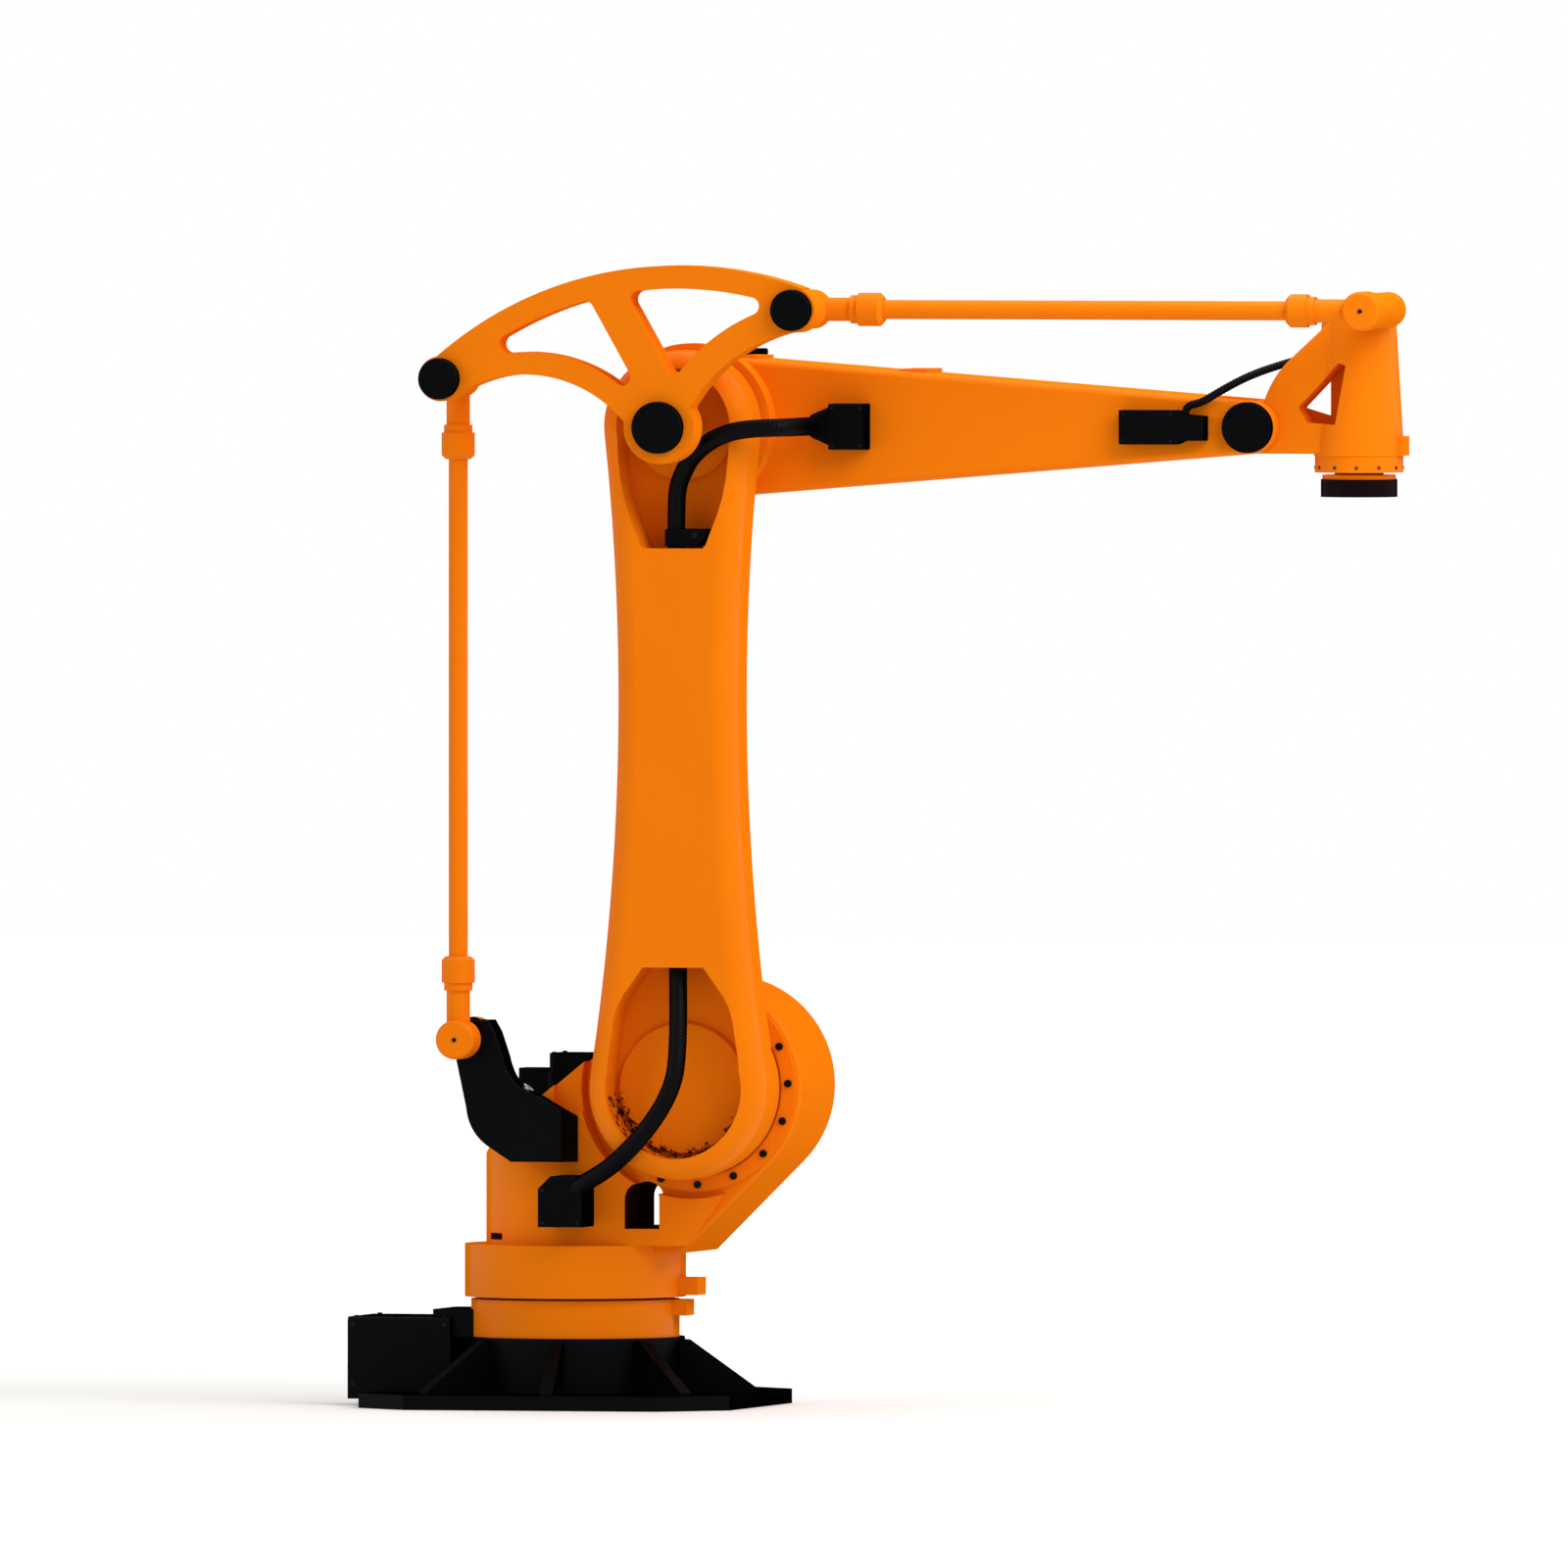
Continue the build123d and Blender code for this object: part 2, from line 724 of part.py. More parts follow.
# Link arm: waisted casting with an open recess at each end and a hose duct between
low_reach = side_radius + boss_radius
high_reach = side_radius + head_radius
c_along = (low_reach**2 - high_reach**2 + link_length**2) / (2 * link_length)
c_across = math.sqrt(low_reach**2 - c_along**2)
low_angle = math.degrees(math.atan2(c_along, c_across))
high_angle = math.degrees(math.atan2(link_length - c_along, c_across))
side_sweep = low_angle + high_angle
side_z = shoulder_z + c_along
with BuildPart() as link_arm_casting:
    with BuildSketch(side_plane(link_far)) as link_face:
        with BuildLine():
            CenterArc((shoulder_x, shoulder_z), boss_radius, 180 - low_angle, 180 + 2 * low_angle)
            CenterArc((shoulder_x + c_across, side_z), side_radius, 180 + low_angle, -side_sweep)
            CenterArc((elbow_x, elbow_z), head_radius, -high_angle, 180 + 2 * high_angle)
            CenterArc((shoulder_x - c_across, side_z), side_radius, high_angle, -side_sweep)
        make_face()
    extrude(link_face.sketch, amount=link_depth)
    fillet(link_arm_casting.edges().group_by(Axis.Y)[0], radius=link_near_round)
    fillet(link_arm_casting.edges().group_by(Axis.Y)[-1], radius=link_far_round)
    with BuildSketch(side_plane(recess_floor)) as low_recess:
        with Locations((shoulder_x, shoulder_z)):
            Circle(recess_low_radius)
        with Locations((shoulder_x, recess_low_top - recess_lip / 2)):
            Rectangle(2 * recess_mouth, recess_lip)
        make_hull(low_recess.edges())
    extrude(low_recess.sketch, amount=link_depth, mode=Mode.SUBTRACT)
    with BuildSketch(side_plane(recess_floor)) as high_recess:
        with Locations((elbow_x, elbow_z)):
            Circle(recess_high_radius)
        with Locations((elbow_x, recess_high_bottom + recess_lip / 2)):
            Rectangle(2 * recess_mouth, recess_lip)
        make_hull(high_recess.edges())
    extrude(high_recess.sketch, amount=link_depth, mode=Mode.SUBTRACT)
    block(
        (shoulder_x - duct_width / 2, shoulder_x + duct_width / 2),
        (link_near + duct_skin, recess_floor),
        (recess_low_top - duct_lap, recess_high_bottom + duct_lap),
        mode=Mode.SUBTRACT,
    )
    bar(boss_radius - boss_step, shoulder_x, shoulder_z, boss_far, link_far - link_far_round)
    bar(recess_low_radius, shoulder_x, shoulder_z, recess_floor, link_near - 1, mode=Mode.SUBTRACT)
    bar(stub_radius, shoulder_x, shoulder_z, housing_near + stub_depth, boss_far)
    bar(
        elbow_bore + pin_clearance,
        elbow_x,
        elbow_z,
        link_far + 1,
        link_far - elbow_bore_depth,
        mode=Mode.SUBTRACT,
    )
link_arm_casting.part.label = "link_arm_casting"
export_step(link_arm_casting.part, "parts/link_arm_casting.step")

# Round gear covers in the two recesses
cover_face = recess_floor - cover_thickness
with BuildPart() as shoulder_cover:
    bevelled_bar(cover_low_radius, shoulder_x, shoulder_z, recess_floor, cover_face, cap_bevel)
shoulder_cover.part.label = "shoulder_cover"
export_step(shoulder_cover.part, "parts/shoulder_cover.step")

with BuildPart() as elbow_cover:
    bevelled_bar(cover_high_radius, elbow_x, elbow_z, recess_floor, cover_face, cap_bevel)
elbow_cover.part.label = "elbow_cover"
export_step(elbow_cover.part, "parts/elbow_cover.step")

# Pin that carries the rocker
with BuildPart() as rocker_pin:
    bar(hub_pin_radius + hub_collar, elbow_x, elbow_z, cover_face, cover_face - hub_collar_length)
    bar(hub_pin_radius, elbow_x, elbow_z, cover_face - hub_collar_length, rocker_near + hub_collar)
rocker_pin.part.label = "rocker_pin"
export_step(rocker_pin.part, "parts/rocker_pin.step")

# Hose clamp at the lower edge of the upper recess
clamp_bottom = recess_high_bottom + running_gap
clamp_top = clamp_bottom + clamp_height
with BuildPart() as hose_clamp:
    with BuildSketch(side_plane(recess_floor)) as clamp_face:
        with BuildLine():
            Polyline(
                (elbow_x + clamp_left, clamp_bottom),
                (elbow_x + clamp_right - clamp_cut, clamp_bottom),
                (elbow_x + clamp_right, clamp_bottom + clamp_cut),
                (elbow_x + clamp_right, clamp_top),
                (elbow_x + clamp_left, clamp_top),
                close=True,
            )
        make_face()
    extrude(clamp_face.sketch, amount=clamp_depth)
    post(hose_radius + tube_clearance, hose_x, hose_y, clamp_bottom - 1, clamp_top + 1, mode=Mode.SUBTRACT)
hose_clamp.part.label = "hose_clamp"
export_step(hose_clamp.part, "parts/hose_clamp.step")

# Rocker: curved top band, three spokes and three bosses, with rounded openings between
with BuildPart() as rocker_frame:
    with BuildSketch(side_plane(rocker_far)) as frame_face:
        with Locations((elbow_x, elbow_z)):
            Circle(hub_radius)
        with Locations(
            (elbow_x + rear_pin_x, elbow_z + rear_pin_z), (elbow_x + front_pin_x, elbow_z + front_pin_z)
        ):
            Circle(rocker_boss)
        with BuildLine() as top_band:
            ThreePointArc(
                (elbow_x + rear_pin_x + 1, elbow_z + rear_pin_z + 22),
                (elbow_x + 8, elbow_z + front_pin_z + 66),
                (elbow_x + front_pin_x + 12, elbow_z + front_pin_z + 22),
            )
        trace(top_band.line, line_width=band_width)
        with BuildLine() as rear_spoke:
            ThreePointArc(
                (elbow_x + rear_pin_x + 19, elbow_z + rear_pin_z - 14),
                (elbow_x - 277, elbow_z + rear_pin_z + 32),
                (elbow_x - 40, elbow_z + 6),
            )
        trace(rear_spoke.line, line_width=rear_spoke_width)
        with BuildLine() as middle_spoke:
            Line((elbow_x - 116, elbow_z + front_pin_z + 40), (elbow_x + 20, elbow_z + 40))
        trace(middle_spoke.line, line_width=middle_spoke_width)
        with BuildLine() as front_spoke:
            ThreePointArc(
                (elbow_x + 20, elbow_z + 20),
                (elbow_x + 122, elbow_z + 152),
                (elbow_x + front_pin_x, elbow_z + front_pin_z - 14),
            )
        trace(front_spoke.line, line_width=front_spoke_width)
        sharp_openings = [Face(wire) for wire in frame_face.face().inner_wires()]
        for opening in sharp_openings:
            shrunk = offset(opening, amount=-opening_round, mode=Mode.PRIVATE)
            rounded = offset(shrunk, amount=opening_round, mode=Mode.PRIVATE)
            add(opening)
            add(rounded, mode=Mode.SUBTRACT)
    extrude(frame_face.sketch, amount=rocker_thickness)
    for offset_x, offset_z in ((rear_pin_x, rear_pin_z), (front_pin_x, front_pin_z)):
        bar(rocker_stub, elbow_x + offset_x, elbow_z + offset_z, eye_near - eye_gap, rocker_far)
    bar(
        hub_pin_radius + pin_clearance,
        elbow_x,
        elbow_z,
        rocker_far + 1,
        rocker_near + hub_collar - 1,
        mode=Mode.SUBTRACT,
    )
rocker_frame.part.label = "rocker_frame"
export_step(rocker_frame.part, "parts/rocker_frame.step")

# Pins on the back of the rocker that carry the two rods
with BuildPart() as rocker_rod_pins:
    for offset_x, offset_z in ((rear_pin_x, rear_pin_z), (front_pin_x, front_pin_z)):
        bar(rod_pin_radius, elbow_x + offset_x, elbow_z + offset_z, eye_far + 4, eye_near - eye_gap)
rocker_rod_pins.part.label = "rocker_rod_pins"
export_step(rocker_rod_pins.part, "parts/rocker_rod_pins.step")

# Black caps on the rocker's near face
with BuildPart() as rocker_caps:
    for radius, offset_x, offset_z in (
        (hub_cap_radius, 0, 0),
        (pin_cap_radius, rear_pin_x, rear_pin_z),
        (pin_cap_radius, front_pin_x, front_pin_z),
    ):
        bevelled_bar(
            radius, elbow_x + offset_x, elbow_z + offset_z, rocker_near, rocker_near - cap_thickness, cap_bevel
        )
rocker_caps.part.label = "rocker_caps"
export_step(rocker_caps.part, "parts/rocker_caps.step")


# Rod end: bevelled eye, round neck, stepped collar and a seat for the tube
def rod_end(pin_x, pin_z, along_x, along_z, collar_start, collar_end):
    bevelled_bar(eye_radius, pin_x, pin_z, eye_far, eye_near, eye_bevel)
    direction = Vector(along_x, 0, along_z)
    centre = Vector(pin_x, rod_y, pin_z)
    with BuildSketch(Plane(centre, x_dir=direction, z_dir=(0, -1, 0))) as half_section:
        with BuildLine():
            Polyline(
                (0, 0),
                (0, neck_radius),
                (collar_start - step_length, neck_radius),
                (collar_start - step_length, step_radius),
                (collar_start, step_radius),
                (collar_start, collar_radius),
                (collar_end - collar_bevel, collar_radius),
                (collar_end, collar_radius - collar_bevel),
                (collar_end, 0),
                close=True,
            )
        make_face()
    revolve(half_section.sketch, axis=Axis(centre, direction))
    with BuildSketch(Plane(centre + direction * collar_end, z_dir=direction)) as seat:
        Circle(tube_radius + tube_clearance)
    extrude(seat.sketch, amount=-tube_insert, mode=Mode.SUBTRACT)


def rod_tube(pin_x, pin_z, along_x, along_z, start, end):
    direction = Vector(along_x, 0, along_z)
    with BuildSketch(Plane(Vector(pin_x, rod_y, pin_z) + direction * start, z_dir=direction)) as section:
        Circle(tube_radius)
    extrude(section.sketch, amount=end - start)


# Rear rod: collars sit a little further from the lower eye than from the upper one
tube_lap = tube_insert - tube_end_gap
with BuildPart() as rear_rod_tube:
    rod_tube(low_pin_x, low_pin_z, 0, 1, collar_low_end - tube_lap, link_length - collar_high_end + tube_lap)
rear_rod_tube.part.label = "rear_rod_tube"
export_step(rear_rod_tube.part, "parts/rear_rod_tube.step")

rod_bore = rod_pin_radius + pin_clearance
with BuildPart() as rear_rod_ends:
    rod_end(low_pin_x, low_pin_z, 0, 1, collar_low_start, collar_low_end)
    rod_end(low_pin_x, low_pin_z + link_length, 0, -1, collar_high_start, collar_high_end)
    bar(rod_bore, low_pin_x, low_pin_z, eye_far, eye_near + blind_wall, mode=Mode.SUBTRACT)
    bar(rod_bore, low_pin_x, low_pin_z + link_length, eye_far, eye_near, mode=Mode.SUBTRACT)
rear_rod_ends.part.label = "rear_rod_ends"
export_step(rear_rod_ends.part, "parts/rear_rod_ends.step")

# Top rod
top_x = elbow_x + front_pin_x
top_z = elbow_z + front_pin_z
with BuildPart() as top_rod_tube:
    rod_tube(top_x, top_z, 1, 0, collar_rear_end - tube_lap, arm_length - collar_front_end + tube_lap)
top_rod_tube.part.label = "top_rod_tube"
export_step(top_rod_tube.part, "parts/top_rod_tube.step")

with BuildPart() as top_rod_ends:
    rod_end(top_x, top_z, 1, 0, collar_rear_start, collar_rear_end)
    rod_end(top_x + arm_length, top_z, -1, 0, collar_front_start, collar_front_end)
    bar(rod_bore, top_x, top_z, eye_far, eye_near, mode=Mode.SUBTRACT)
    bar(rod_bore, top_x + arm_length, top_z, eye_far, eye_near + blind_wall, mode=Mode.SUBTRACT)
top_rod_ends.part.label = "top_rod_ends"
export_step(top_rod_ends.part, "parts/top_rod_ends.step")

# Arm: tapered beam with machined pads on top, a narrow slot and a fork at the wrist
arm_slope = (arm_root_radius - arm_root_drop - arm_tip_radius) / arm_length
with BuildPart() as arm_casting:
    with BuildSketch(side_plane(arm_half)) as beam_face:
        with Locations((elbow_x, elbow_z - arm_root_drop)):
            Circle(arm_root_radius)
        with Locations((wrist_x, wrist_z)):
            Circle(arm_tip_radius)
        make_hull(beam_face.edges())
    extrude(beam_face.sketch, amount=2 * arm_half)
    fillet(arm_casting.edges().group_by(Axis.Y)[0] + arm_casting.edges().group_by(Axis.Y)[-1], radius=arm_round)
    for pad_start, pad_end in ((82, 120), (420, 474)):
        pad_face = elbow_z + arm_root_radius - arm_root_drop - arm_slope * pad_start + arm_pad_height
        block(
            (elbow_x + pad_start, elbow_x + pad_end),
            (-arm_pad_half_width, arm_pad_half_width),
            (pad_face - 4 * arm_pad_height, pad_face),
        )
    block(
        (elbow_x + arm_slot_x, elbow_x + arm_slot_x + arm_slot_width),
        (-arm_half - 1, arm_slot_depth - arm_half),
        (elbow_z - arm_slot_drop - arm_slot_height / 2, elbow_z - arm_slot_drop + arm_slot_height / 2),
        mode=Mode.SUBTRACT,
    )
    block(
        (wrist_x - fork_back, wrist_x + fork_back),
        (-fork_inner, fork_inner),
        (wrist_z - arm_root_radius, wrist_z + arm_root_radius),
        mode=Mode.SUBTRACT,
    )
    bar(wrist_pin_radius + pin_clearance, wrist_x, wrist_z, arm_half + 1, -arm_half - 1, mode=Mode.SUBTRACT)
arm_casting.part.label = "arm_casting"
export_step(arm_casting.part, "parts/arm_casting.step")

# Gear drum between the link arm's head and the arm
with BuildPart() as elbow_drum:
    bar(drum_radius, elbow_x, elbow_z, -arm_half, link_far + drum_gap)
    bar(elbow_bore, elbow_x, elbow_z, link_far + drum_gap, link_far - elbow_bore_depth + 2)
elbow_drum.part.label = "elbow_drum"
export_step(elbow_drum.part, "parts/elbow_drum.step")

# Elbow motor on the far side of the arm, its cable outlet on top
with BuildPart() as elbow_motor:
    bar(elbow_motor_plate, elbow_x, elbow_z, arm_half + drive_plate_thickness, arm_half)
    motor_body(
        Plane(origin=(elbow_x, arm_half + drive_plate_thickness, elbow_z), x_dir=(-1, 0, 0), z_dir=(0, 1, 0)),
        elbow_motor_flange,
        elbow_motor_body,
        elbow_motor_length,
        elbow_motor_outlet,
    )
elbow_motor.part.label = "elbow_motor"
export_step(elbow_motor.part, "parts/elbow_motor.step")

# Cable box behind the elbow, with a tapered hose neck
with BuildPart() as elbow_cable_box:
    block(
        (elbow_box_x, elbow_box_x + elbow_box_length),
        (-arm_half - box_depth, -arm_half),
        (elbow_z - elbow_box_bottom, elbow_z + elbow_box_top),
    )
    fillet(elbow_cable_box.edges().filter_by(Axis.X), radius=elbow_box_round)
    with BuildSketch(Plane.YZ.offset(elbow_box_x)) as neck_wide:
        with Locations((elbow_box_y, elbow_z)):
            RectangleRounded(box_depth - elbow_box_round, hose_neck_wide, 2 * elbow_box_round)
    with BuildSketch(Plane.YZ.offset(elbow_box_x - hose_neck_length)) as neck_narrow:
        with Locations((elbow_box_y, elbow_z)):
            RectangleRounded(hose_neck_narrow, hose_neck_narrow, hose_neck_narrow / 2 - 3)
    loft([neck_narrow.sketch, neck_wide.sketch])
    with BuildSketch(Plane.YZ.offset(elbow_box_x - hose_neck_length - 1)) as hose_way:
        with Locations((elbow_box_y, elbow_z)):
            Circle(hose_radius + tube_clearance)
    extrude(hose_way.sketch, amount=hose_neck_length, mode=Mode.SUBTRACT)
elbow_cable_box.part.label = "elbow_cable_box"
export_step(elbow_cable_box.part, "parts/elbow_cable_box.step")

# Cable box near the wrist, stepping down to a flat nose
with BuildPart() as wrist_cable_box:
    with BuildSketch(side_plane(-arm_half)) as box_outline:
        with BuildLine():
            Polyline(
                (wrist_box_x, wrist_box_bottom),
                (wrist_box_x + wrist_box_body, wrist_box_bottom),
                (wrist_box_x + wrist_box_body + wrist_box_taper, wrist_box_bottom + wrist_box_step),
                (wrist_box_x + wrist_box_length, wrist_box_bottom + wrist_box_step),
                (wrist_box_x + wrist_box_length, wrist_box_top - 1.5 * wrist_box_step),
                (wrist_box_x + wrist_box_body + wrist_box_taper, wrist_box_top - wrist_box_step),
                (wrist_box_x + wrist_box_body, wrist_box_top),
                (wrist_box_x, wrist_box_top),
                close=True,
            )
        make_face()
    extrude(box_outline.sketch, amount=wrist_box_depth)
    with BuildSketch(Plane.XY.offset(wrist_box_top + 1)) as hose_hole:
        with Locations((wrist_hose_x, wrist_hose_y)):
            Circle(wrist_hose_radius + tube_clearance)
    extrude(hose_hole.sketch, amount=-2 * wrist_hose_radius - wrist_box_step, mode=Mode.SUBTRACT)
wrist_cable_box.part.label = "wrist_cable_box"
export_step(wrist_cable_box.part, "parts/wrist_cable_box.step")

# Wrist: triangular frame on a tapered gear housing, with a hole for the wrist hose
wrist_hose_bend = Vector(wrist_x + 42, -52, wrist_z + 124)
wrist_hose_end = Vector(wrist_x + 120, -14, wrist_z + 148)
top_pin_x = wrist_x + front_pin_x
top_pin_z = wrist_z + front_pin_z
with BuildPart() as wrist_casting:
    with BuildSketch(side_plane(lug_half)) as frame_outline:
        with BuildLine():
            Polyline(
                (wrist_x, wrist_z - arm_tip_radius),
                (tool_x, wrist_z - arm_tip_radius),
                (tool_x + 62, top_pin_z - 56),
                (tool_x + 62, top_pin_z - 14),
                (tool_x + 38, top_pin_z + 12),
                (tool_x - 20, top_pin_z),
                (wrist_x + 153, top_pin_z - 30),
                (wrist_x + 79, wrist_z + 142),
            )
            ThreePointArc(
                (wrist_x + 79, wrist_z + 142), (wrist_x + 42, wrist_z + 98), (wrist_x + 20, wrist_z + 50)
            )
            Polyline((wrist_x + 20, wrist_z + 50), (wrist_x, wrist_z - arm_tip_radius))
        make_face()
        with Locations((wrist_x, wrist_z)):
            Circle(arm_tip_radius)
    extrude(frame_outline.sketch, amount=2 * lug_half)
    fillet(wrist_casting.faces().sort_by(Axis.Y)[0].edges(), radius=wrist_edge)
    with BuildSketch(Plane.XY.offset(wrist_z - wrist_floor)) as housing_foot:
        with Locations((tool_x, 0)):
            Circle(cone_bottom_radius)
    with BuildSketch(Plane.XY.offset(wrist_z + cone_top)) as housing_head:
        with Locations((tool_x, 0)):
            Circle(cone_top_radius)
    loft([housing_foot.sketch, housing_head.sketch])
    with BuildSketch(side_plane(far_cheek)) as near_opening:
        with BuildLine():
            FilletPolyline(
                (wrist_x + 92, wrist_z + 40),
                (wrist_x + 181, wrist_z + 132),
                (wrist_x + 197, wrist_z + 126),
                (wrist_x + 175, wrist_z + 5),
                (wrist_x + 111, wrist_z + 9),
                radius=3,
                close=True,
            )
        make_face()
    extrude(near_opening.sketch, amount=far_out, mode=Mode.SUBTRACT)
    with BuildSketch(side_plane(far_out)) as far_opening:
        with BuildLine():
            FilletPolyline(
                (wrist_x + 75, wrist_z + 40),
                (wrist_x + 142, wrist_z + 112),
                (wrist_x + 142, wrist_z + 20),
                radius=3,
                close=True,
            )
        make_face()
    extrude(far_opening.sketch, amount=far_out - far_cheek + 1, mode=Mode.SUBTRACT)
    block(
        (tool_x + cone_bottom_radius / 2, tool_x + side_block_reach),
        (-side_block_half_width, side_block_half_width),
        (wrist_z - wrist_floor, wrist_z - wrist_floor + side_block_height),
    )
    bar(top_boss_radius, top_pin_x, top_pin_z, -lug_half * 0.8, eye_far + eye_gap)
    with BuildSketch(Plane(wrist_hose_end, z_dir=wrist_hose_bend - wrist_hose_end)) as hose_hole:
        Circle(wrist_hose_radius + tube_clearance)
    extrude(hose_hole.sketch, amount=far_out / 7, mode=Mode.SUBTRACT)
wrist_casting.part.label = "wrist_casting"
export_step(wrist_casting.part, "parts/wrist_casting.step")

# Pin through the fork with a black cap on each side
with BuildPart() as wrist_pivot:
    for side in (-1, 1):
        inner_face = side * (arm_half + running_gap)
        near_face, far_face = sorted((inner_face, inner_face + side * wrist_cap_thickness))
        bevelled_bar(wrist_cap_radius, wrist_x, wrist_z, far_face, near_face, cap_bevel)
    bar(wrist_pin_radius, wrist_x, wrist_z, arm_half + 2 * running_gap, -arm_half - 2 * running_gap)
    bar(wrist_pin_radius + 1, wrist_x, wrist_z, lug_half, -lug_half, mode=Mode.SUBTRACT)
wrist_pivot.part.label = "wrist_pivot"
export_step(wrist_pivot.part, "parts/wrist_pivot.step")

# Pin that carries the top rod's front eye
with BuildPart() as wrist_rod_pin:
    bar(rod_pin_radius, top_pin_x, top_pin_z, eye_far + eye_gap, eye_near + pin_head_inset)
wrist_rod_pin.part.label = "wrist_rod_pin"
export_step(wrist_rod_pin.part, "parts/wrist_rod_pin.step")

# Bolted ring under the wrist
ring_bottom_z = wrist_z - wrist_floor - ring_thickness
with BuildPart() as wrist_ring:
    post(ring_bolt_radius, tool_x, 0, ring_bottom_z, wrist_z - wrist_floor)
    post(
        neck_bore + pin_clearance,
        tool_x,
        0,
        ring_bottom_z - 1,
        ring_bottom_z + neck_bore_depth,
        mode=Mode.SUBTRACT,
    )
wrist_ring.part.label = "wrist_ring"
export_step(wrist_ring.part, "parts/wrist_ring.step")

# Turning neck and tool flange
with BuildPart() as flange_neck:
    post(flange_neck_radius, tool_x, 0, flange_face_z + flange_thickness, ring_bottom_z - running_gap)
    post(neck_bore, tool_x, 0, ring_bottom_z - running_gap, ring_bottom_z + neck_bore_depth - 2)
flange_neck.part.label = "flange_neck"
export_step(flange_neck.part, "parts/flange_neck.step")

with BuildPart() as tool_flange:
    post(flange_radius, tool_x, 0, flange_face_z, flange_face_z + flange_thickness)
    post(pilot_radius, tool_x, 0, flange_face_z - 1, flange_face_z + pilot_depth, mode=Mode.SUBTRACT)
    with BuildSketch(Plane.XY.offset(flange_face_z)) as tool_holes:
        with Locations((tool_x, 0)):
            with PolarLocations(tool_bolt_circle / 2, tool_bolt_count):
                Circle(tool_bolt_radius)
    extrude(tool_holes.sketch, amount=tool_bolt_depth, mode=Mode.SUBTRACT)
tool_flange.part.label = "tool_flange"
export_step(tool_flange.part, "parts/tool_flange.step")

# Hoses: carousel to link arm, link arm to arm in two lengths, arm to wrist
with BuildPart() as lower_hose:
    tube_along(lower_hose_route, lower_bend_radius, hose_radius)
lower_hose.part.label = "lower_hose"
export_step(lower_hose.part, "parts/lower_hose.step")

hose_front = link_near - running_gap - hose_radius
elbow_rise = [
    (hose_x, hose_y, clamp_bottom - clamp_height),
    (hose_x, hose_y, elbow_z - 158),
    (elbow_x + 1, -258, elbow_z - 120),
    (elbow_x + 14, -270, elbow_z - 95),
    (elbow_x + 33, -287, elbow_z - 67),
]
elbow_loop = [
    (elbow_x + 58, -306, elbow_z - 45),
    (elbow_x + 93, hose_front, elbow_z - 23),
    (elbow_x + 130, hose_front, elbow_z - 8),
    (elbow_x + 164, -296, elbow_z - 2),
    (elbow_x + 186, -245, elbow_z - 1),
    (elbow_x + 202, -190, elbow_z - 1),
    (elbow_x + 216, elbow_box_y, elbow_z),
    (elbow_box_x - running_gap, elbow_box_y, elbow_z),
]
hose_joint = (Vector(*elbow_rise[-1]) + Vector(*elbow_loop[0])) * 0.5
with BuildPart() as elbow_hose_lower:
    tube_along([*elbow_rise, hose_joint], elbow_bend_radius, hose_radius)
elbow_hose_lower.part.label = "elbow_hose_lower"
export_step(elbow_hose_lower.part, "parts/elbow_hose_lower.step")

loop_bends = [elbow_bend_radius] * (len(elbow_loop) - 2) + [elbow_turn_radius]
with BuildPart() as elbow_hose_upper:
    tube_along([hose_joint, *elbow_loop], loop_bends, hose_radius)
elbow_hose_upper.part.label = "elbow_hose_upper"
export_step(elbow_hose_upper.part, "parts/elbow_hose_upper.step")

with BuildPart() as wrist_hose:
    tube_along(
        [
            (wrist_hose_x, wrist_hose_y, wrist_box_top - 2 * wrist_hose_radius),
            (wrist_hose_x, wrist_hose_y, wrist_box_top + wrist_hose_radius),
            (wrist_x - 96, -118, wrist_z + 50),
            (wrist_x - 57, -108, wrist_z + 75),
            (wrist_x - 10, -88, wrist_z + 102),
            wrist_hose_bend,
            wrist_hose_end,
        ],
        [2 * wrist_hose_radius, *[wrist_hose_bend_radius] * 4],
        wrist_hose_radius,
    )
wrist_hose.part.label = "wrist_hose"
export_step(wrist_hose.part, "parts/wrist_hose.step")
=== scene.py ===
import json
import math

import bmesh
import bpy
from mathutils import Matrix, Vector


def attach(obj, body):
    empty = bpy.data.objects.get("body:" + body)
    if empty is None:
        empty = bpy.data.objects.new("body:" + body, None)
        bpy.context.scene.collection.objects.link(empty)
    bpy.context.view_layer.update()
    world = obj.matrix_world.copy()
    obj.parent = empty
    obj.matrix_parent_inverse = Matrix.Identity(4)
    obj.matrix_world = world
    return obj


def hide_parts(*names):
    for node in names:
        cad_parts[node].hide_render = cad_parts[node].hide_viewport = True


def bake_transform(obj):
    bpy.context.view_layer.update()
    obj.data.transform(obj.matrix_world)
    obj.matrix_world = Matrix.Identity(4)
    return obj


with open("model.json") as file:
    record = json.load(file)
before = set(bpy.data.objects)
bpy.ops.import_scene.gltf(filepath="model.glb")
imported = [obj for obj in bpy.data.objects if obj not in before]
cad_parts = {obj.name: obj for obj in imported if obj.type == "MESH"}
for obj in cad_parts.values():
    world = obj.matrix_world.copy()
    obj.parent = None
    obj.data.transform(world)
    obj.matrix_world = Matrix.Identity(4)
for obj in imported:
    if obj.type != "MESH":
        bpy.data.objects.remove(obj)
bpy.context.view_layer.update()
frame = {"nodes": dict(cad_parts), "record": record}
print("frame loaded:", len(frame["nodes"]), "nodes")

scene = bpy.context.scene
nodeSlot = {entry["node"]: entry["material_slot"] for entry in frame["record"]["subparts"]}
nodeBody = {node: body for body, nodes in frame["record"]["behaviour"]["bodies"].items() for node in nodes}


